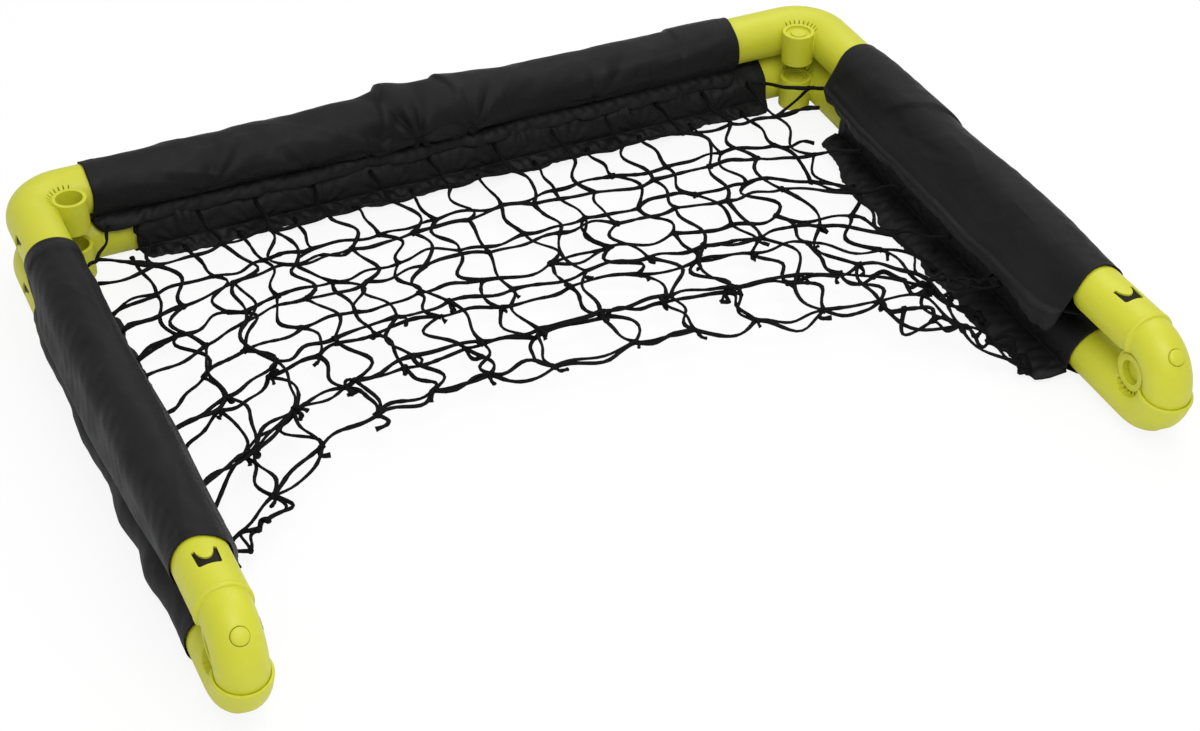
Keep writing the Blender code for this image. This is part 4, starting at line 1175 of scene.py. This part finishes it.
def knot_skin(centres, rng, rings=6, around=8):
    """A small lumpy ellipsoid at each knot, turned at random about the upright."""
    pitch = np.linspace(0.12, math.pi - 0.12, rings)[:, None]
    turn = np.linspace(0.0, 2 * math.pi, around, endpoint=False)[None, :]
    ball = np.stack(np.broadcast_arrays(
        np.sin(pitch) * np.cos(turn), np.sin(pitch) * np.sin(turn), np.cos(pitch)), -1)
    lump = 1.0 + 0.16 * rng.normal(0.0, 1.0, (len(centres), rings, around, 1))
    shape = ball[None] * lump * np.array(KNOT_SIZE) * rng.uniform(0.8, 1.2, (len(centres), 1, 1, 1))
    spin = rng.uniform(0, math.pi, len(centres))[:, None, None]
    x = shape[..., 0] * np.cos(spin) - shape[..., 1] * np.sin(spin)
    y = shape[..., 0] * np.sin(spin) + shape[..., 1] * np.cos(spin)
    skin = centres[:, None, None] + np.stack([x, y, shape[..., 2]], -1)
    index = np.arange(len(centres) * rings * around).reshape(-1, rings, around)
    quads = np.stack([
        index[:, :-1], index[:, 1:], np.roll(index[:, 1:], -1, 2), np.roll(index[:, :-1], -1, 2)], -1)
    caps = np.concatenate([index[:, 0], index[:, -1, ::-1]])
    uv = np.stack(np.broadcast_arrays(turn / (2 * math.pi), pitch * 0.002), -1)
    uv = np.broadcast_to(uv, (len(centres), rings, around, 2))
    return skin.reshape(-1, 3), quads.reshape(-1, 4).tolist(), caps.tolist(), uv.reshape(-1, 2)


def snarl(first, last, count, rng):
    """Small loops and knots in a row between two points, where slack twine has bunched up."""
    t = np.linspace(0.0, 1.0, count + 1)[:, None]
    points = first + (last - first) * t
    points = points + rng.normal(0.0, 1.0, points.shape) * SNARL_SLACK * (t * (1 - t) * 4)
    loops = strand_lines(points[:-1], points[1:], rng, bow=0.60, swing=0.15, doubled=0.8)
    return [twine_skin(loops, rng), knot_skin(points[1:-1], rng)]


def net_piece(name, skins, first, second, start, end):
    """One chain of the net, made from its skins. Its first, second, start and end are not used."""
    base, faces, places, uvs = 0, [], [], []
    for skin, quads, caps, uv in skins:
        faces += [[corner + base for corner in face] for face in quads + caps]
        places.append(skin)
        uvs.append(uv)
        base += len(skin)
    mesh = bpy.data.meshes.new(name)
    mesh.from_pydata(np.concatenate(places).tolist(), [], faces)
    corners = np.zeros(len(mesh.loops), int)
    mesh.loops.foreach_get("vertex_index", corners)
    layer = mesh.uv_layers.new(name="twine")
    layer.data.foreach_set("uv", np.concatenate(uvs)[corners].reshape(-1).astype(np.float32))
    mesh.materials.append(TWINE)
    mesh.shade_smooth()
    piece = in_scene(name, mesh)
    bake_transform(piece)
    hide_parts("net")


TWINE = twine_finish()
FRAMES = ("base_frame", "goal_frame")
rng = np.random.default_rng(33)
columns, rows = NET_CELLS
middle = rows // 2
run = 1.0 - np.abs(np.arange(rows + 1) / middle - 1.0)
run[1:-1] += np.where(run[1:-1] < 1.0, rng.uniform(-0.015, 0.025, rows - 1), 0.0)
fold = np.interp(np.linspace(-1.0, 1.0, columns + 1), *NET_FOLD.T)
fold += rng.uniform(-0.005, 0.005, columns + 1)
share = np.where(np.arange(rows + 1) > middle, 1.0 - run / 2, run / 2)
knots = net_knots(run, fold)
for row in range(1, rows):
    inner = knots[row, 1:-1]
    looks = dict(doubled=0.06, bow=0.075, swing=0.04)
    if row == middle:
        looks = dict(doubled=0.8, bow=0.16)
    lines = [strand_lines(inner[:-1], inner[1:], rng, **looks)]
    if abs(row - middle) < 3:
        count = len(inner)
        tail = np.stack([
            rng.normal(0.0, 0.005, count), -rng.uniform(*TAIL_LENGTH, count),
            rng.normal(-0.001, 0.002, count)], -1)
        lines.append(strand_lines(inner, inner + tail, rng, bow=0.35, doubled=0.3))
    skins = [twine_skin(line, rng) for line in lines] + [knot_skin(inner, rng)]
    if row in (middle - 1, middle):
        skins += snarl(inner[-2], inner[-1], 3, rng)
    net_piece(
        f"net_row_{row:02d}", skins, *FRAMES,
        (0, 0, -FAR * share[row]), (0, 0, FAR * (1 - share[row])))
    bodies, part = (FRAMES, share[row]) if row <= middle else (FRAMES[::-1], 1.0 - share[row])
    for side, edge, near in (("left", 0, 1), ("right", columns, columns - 1)):
        ends = knots[row, [edge, near]]
        line = strand_lines(ends[:1], ends[1:], rng, bow=0.10, doubled=0.4)
        skins = [twine_skin(line, rng)]
        if abs(row - middle) < 2 and (side == "right" or row == middle):
            skins += snarl(ends[1], ends[0], 4, rng)
        start = ends[0, 0]
        reach = (ends[1, 0] - start) / part
        net_piece(
            f"net_end_{row:02d}_{side}", skins, *bodies, (start, 0, 0), (start + reach, 0, 0))
for column in range(1, columns):
    chains = (
        ("low", knots[:middle + 1, column], FRAMES, NET_BACK[0]),
        ("high", knots[:middle - 1:-1, column], FRAMES[::-1], NET_BACK[1]))
    for half, chain, bodies, bar in chains:
        first = strand_lines(chain[:1], chain[1:2], rng, bow=0.04, swing=0.02, doubled=0.0)
        others = strand_lines(chain[1:-1], chain[2:], rng, bow=0.17, swing=0.08)
        skins = [twine_skin(np.concatenate([first, others]), rng)]
        start, reach = PIVOT[1] + bar, 2 * (bar - fold[column])
        net_piece(
            f"net_column_{column:02d}_{half}", skins, *bodies, (0, start, 0), (0, start - reach, 0))

# At each far corner a string runs from the crossbar's sleeve to the post's, and a strand from it to the
# net's first knot.
CORNER_STRINGS = {
    "left": ((-0.3086, 0.5095, 0.0460), (-0.3295, 0.4690, 0.0450), (-0.3430, 0.4550, 0.0500)),
    "right": ((0.2860, 0.4990, 0.0470), (0.3300, 0.4710, 0.0460), (0.3450, 0.4610, 0.0480))}
pivot_line = np.array([0.0, PIVOT[1], 0.0])
for (side, string), near in zip(CORNER_STRINGS.items(), (1, columns - 1)):
    points = np.array([*string, knots[rows - 1, near] - pivot_line]) + pivot_line
    lines = strand_lines(
        points[[0, 1, 1]], points[[1, 2, 3]], rng, bow=0.03, swing=0.02, sag=0.0, doubled=0.4)
    skins = [twine_skin(lines, rng), knot_skin(points[[1, 2]], rng)]
    net_piece(f"net_corner_{side}", skins, *FRAMES, (0, 0, -FAR), (0, 0, 0.0))


# The goal lies on a plain white table in an even studio light, with two large soft lamps over it.
# The camera sees the table and the room as white, and the table keeps a faint shadow.
WHITE = (1.0, 1.0, 1.0, 1.0)
TABLE_WHITE = (0.9, 0.9, 0.9, 1.0)
TABLE_HALF = 4.0
TABLE_GLOW = 0.88
ROOM_LEVEL = 0.60
LAMPS = {
    "key_lamp": ((-0.20, -1.0, 1.9), 1.6, 24.0),
    "fill_lamp": ((0.7, 0.8, 1.6), 1.6, 11.5)}


def table_finish():
    """White table: a plain pale surface that the camera sees almost as pure white."""
    finish = Finish("white_table", Base_Color=TABLE_WHITE, Specular_IOR_Level=0.0)
    seen = finish.add("ShaderNodeLightPath", output="Is Camera Ray") * TABLE_GLOW
    glow = finish.add("ShaderNodeEmission", None, {"Color": WHITE})
    plain = Socket(finish, finish.shader.outputs[0])
    mixed = finish.add("ShaderNodeMixShader", None, [seen, plain, glow])
    finish.tree.links.new(mixed.link, finish.tree.nodes["Material Output"].inputs["Surface"])
    return finish.material


corners = TABLE_HALF * np.array([(-1, -1, 0), (1, -1, 0), (1, 1, 0), (-1, 1, 0)])
table_mesh = bpy.data.meshes.new("table")
table_mesh.from_pydata(corners.tolist(), [], [(0, 1, 2, 3)])
table_mesh.materials.append(table_finish())
table = in_scene("table", table_mesh)

room = Finish("studio", bpy.data.worlds.new("studio"), "Background", Color=WHITE)
seen = room.add("ShaderNodeLightPath", output="Is Camera Ray")
bpy.context.scene.world = room.feed(Strength=room.range(seen, 0.0, 1.0, ROOM_LEVEL, 1.0))

for name, (spot, size, watts) in LAMPS.items():
    lamp = bpy.data.lights.new(name, "AREA")
    lamp.shape = "DISK"
    lamp.size = size
    lamp.energy = watts
    holder = in_scene(name, lamp)
    away_from = np.array(spot) / np.linalg.norm(spot)
    cross = np.cross([0.0, 0.0, 1.0], away_from)
    cross /= np.linalg.norm(cross)
    place = np.eye(4)
    place[:3] = np.stack([cross, np.cross(away_from, cross), away_from, spot], -1)
    holder.matrix_world = Matrix(place.tolist())

bpy.context.scene.view_settings.view_transform = "Standard"
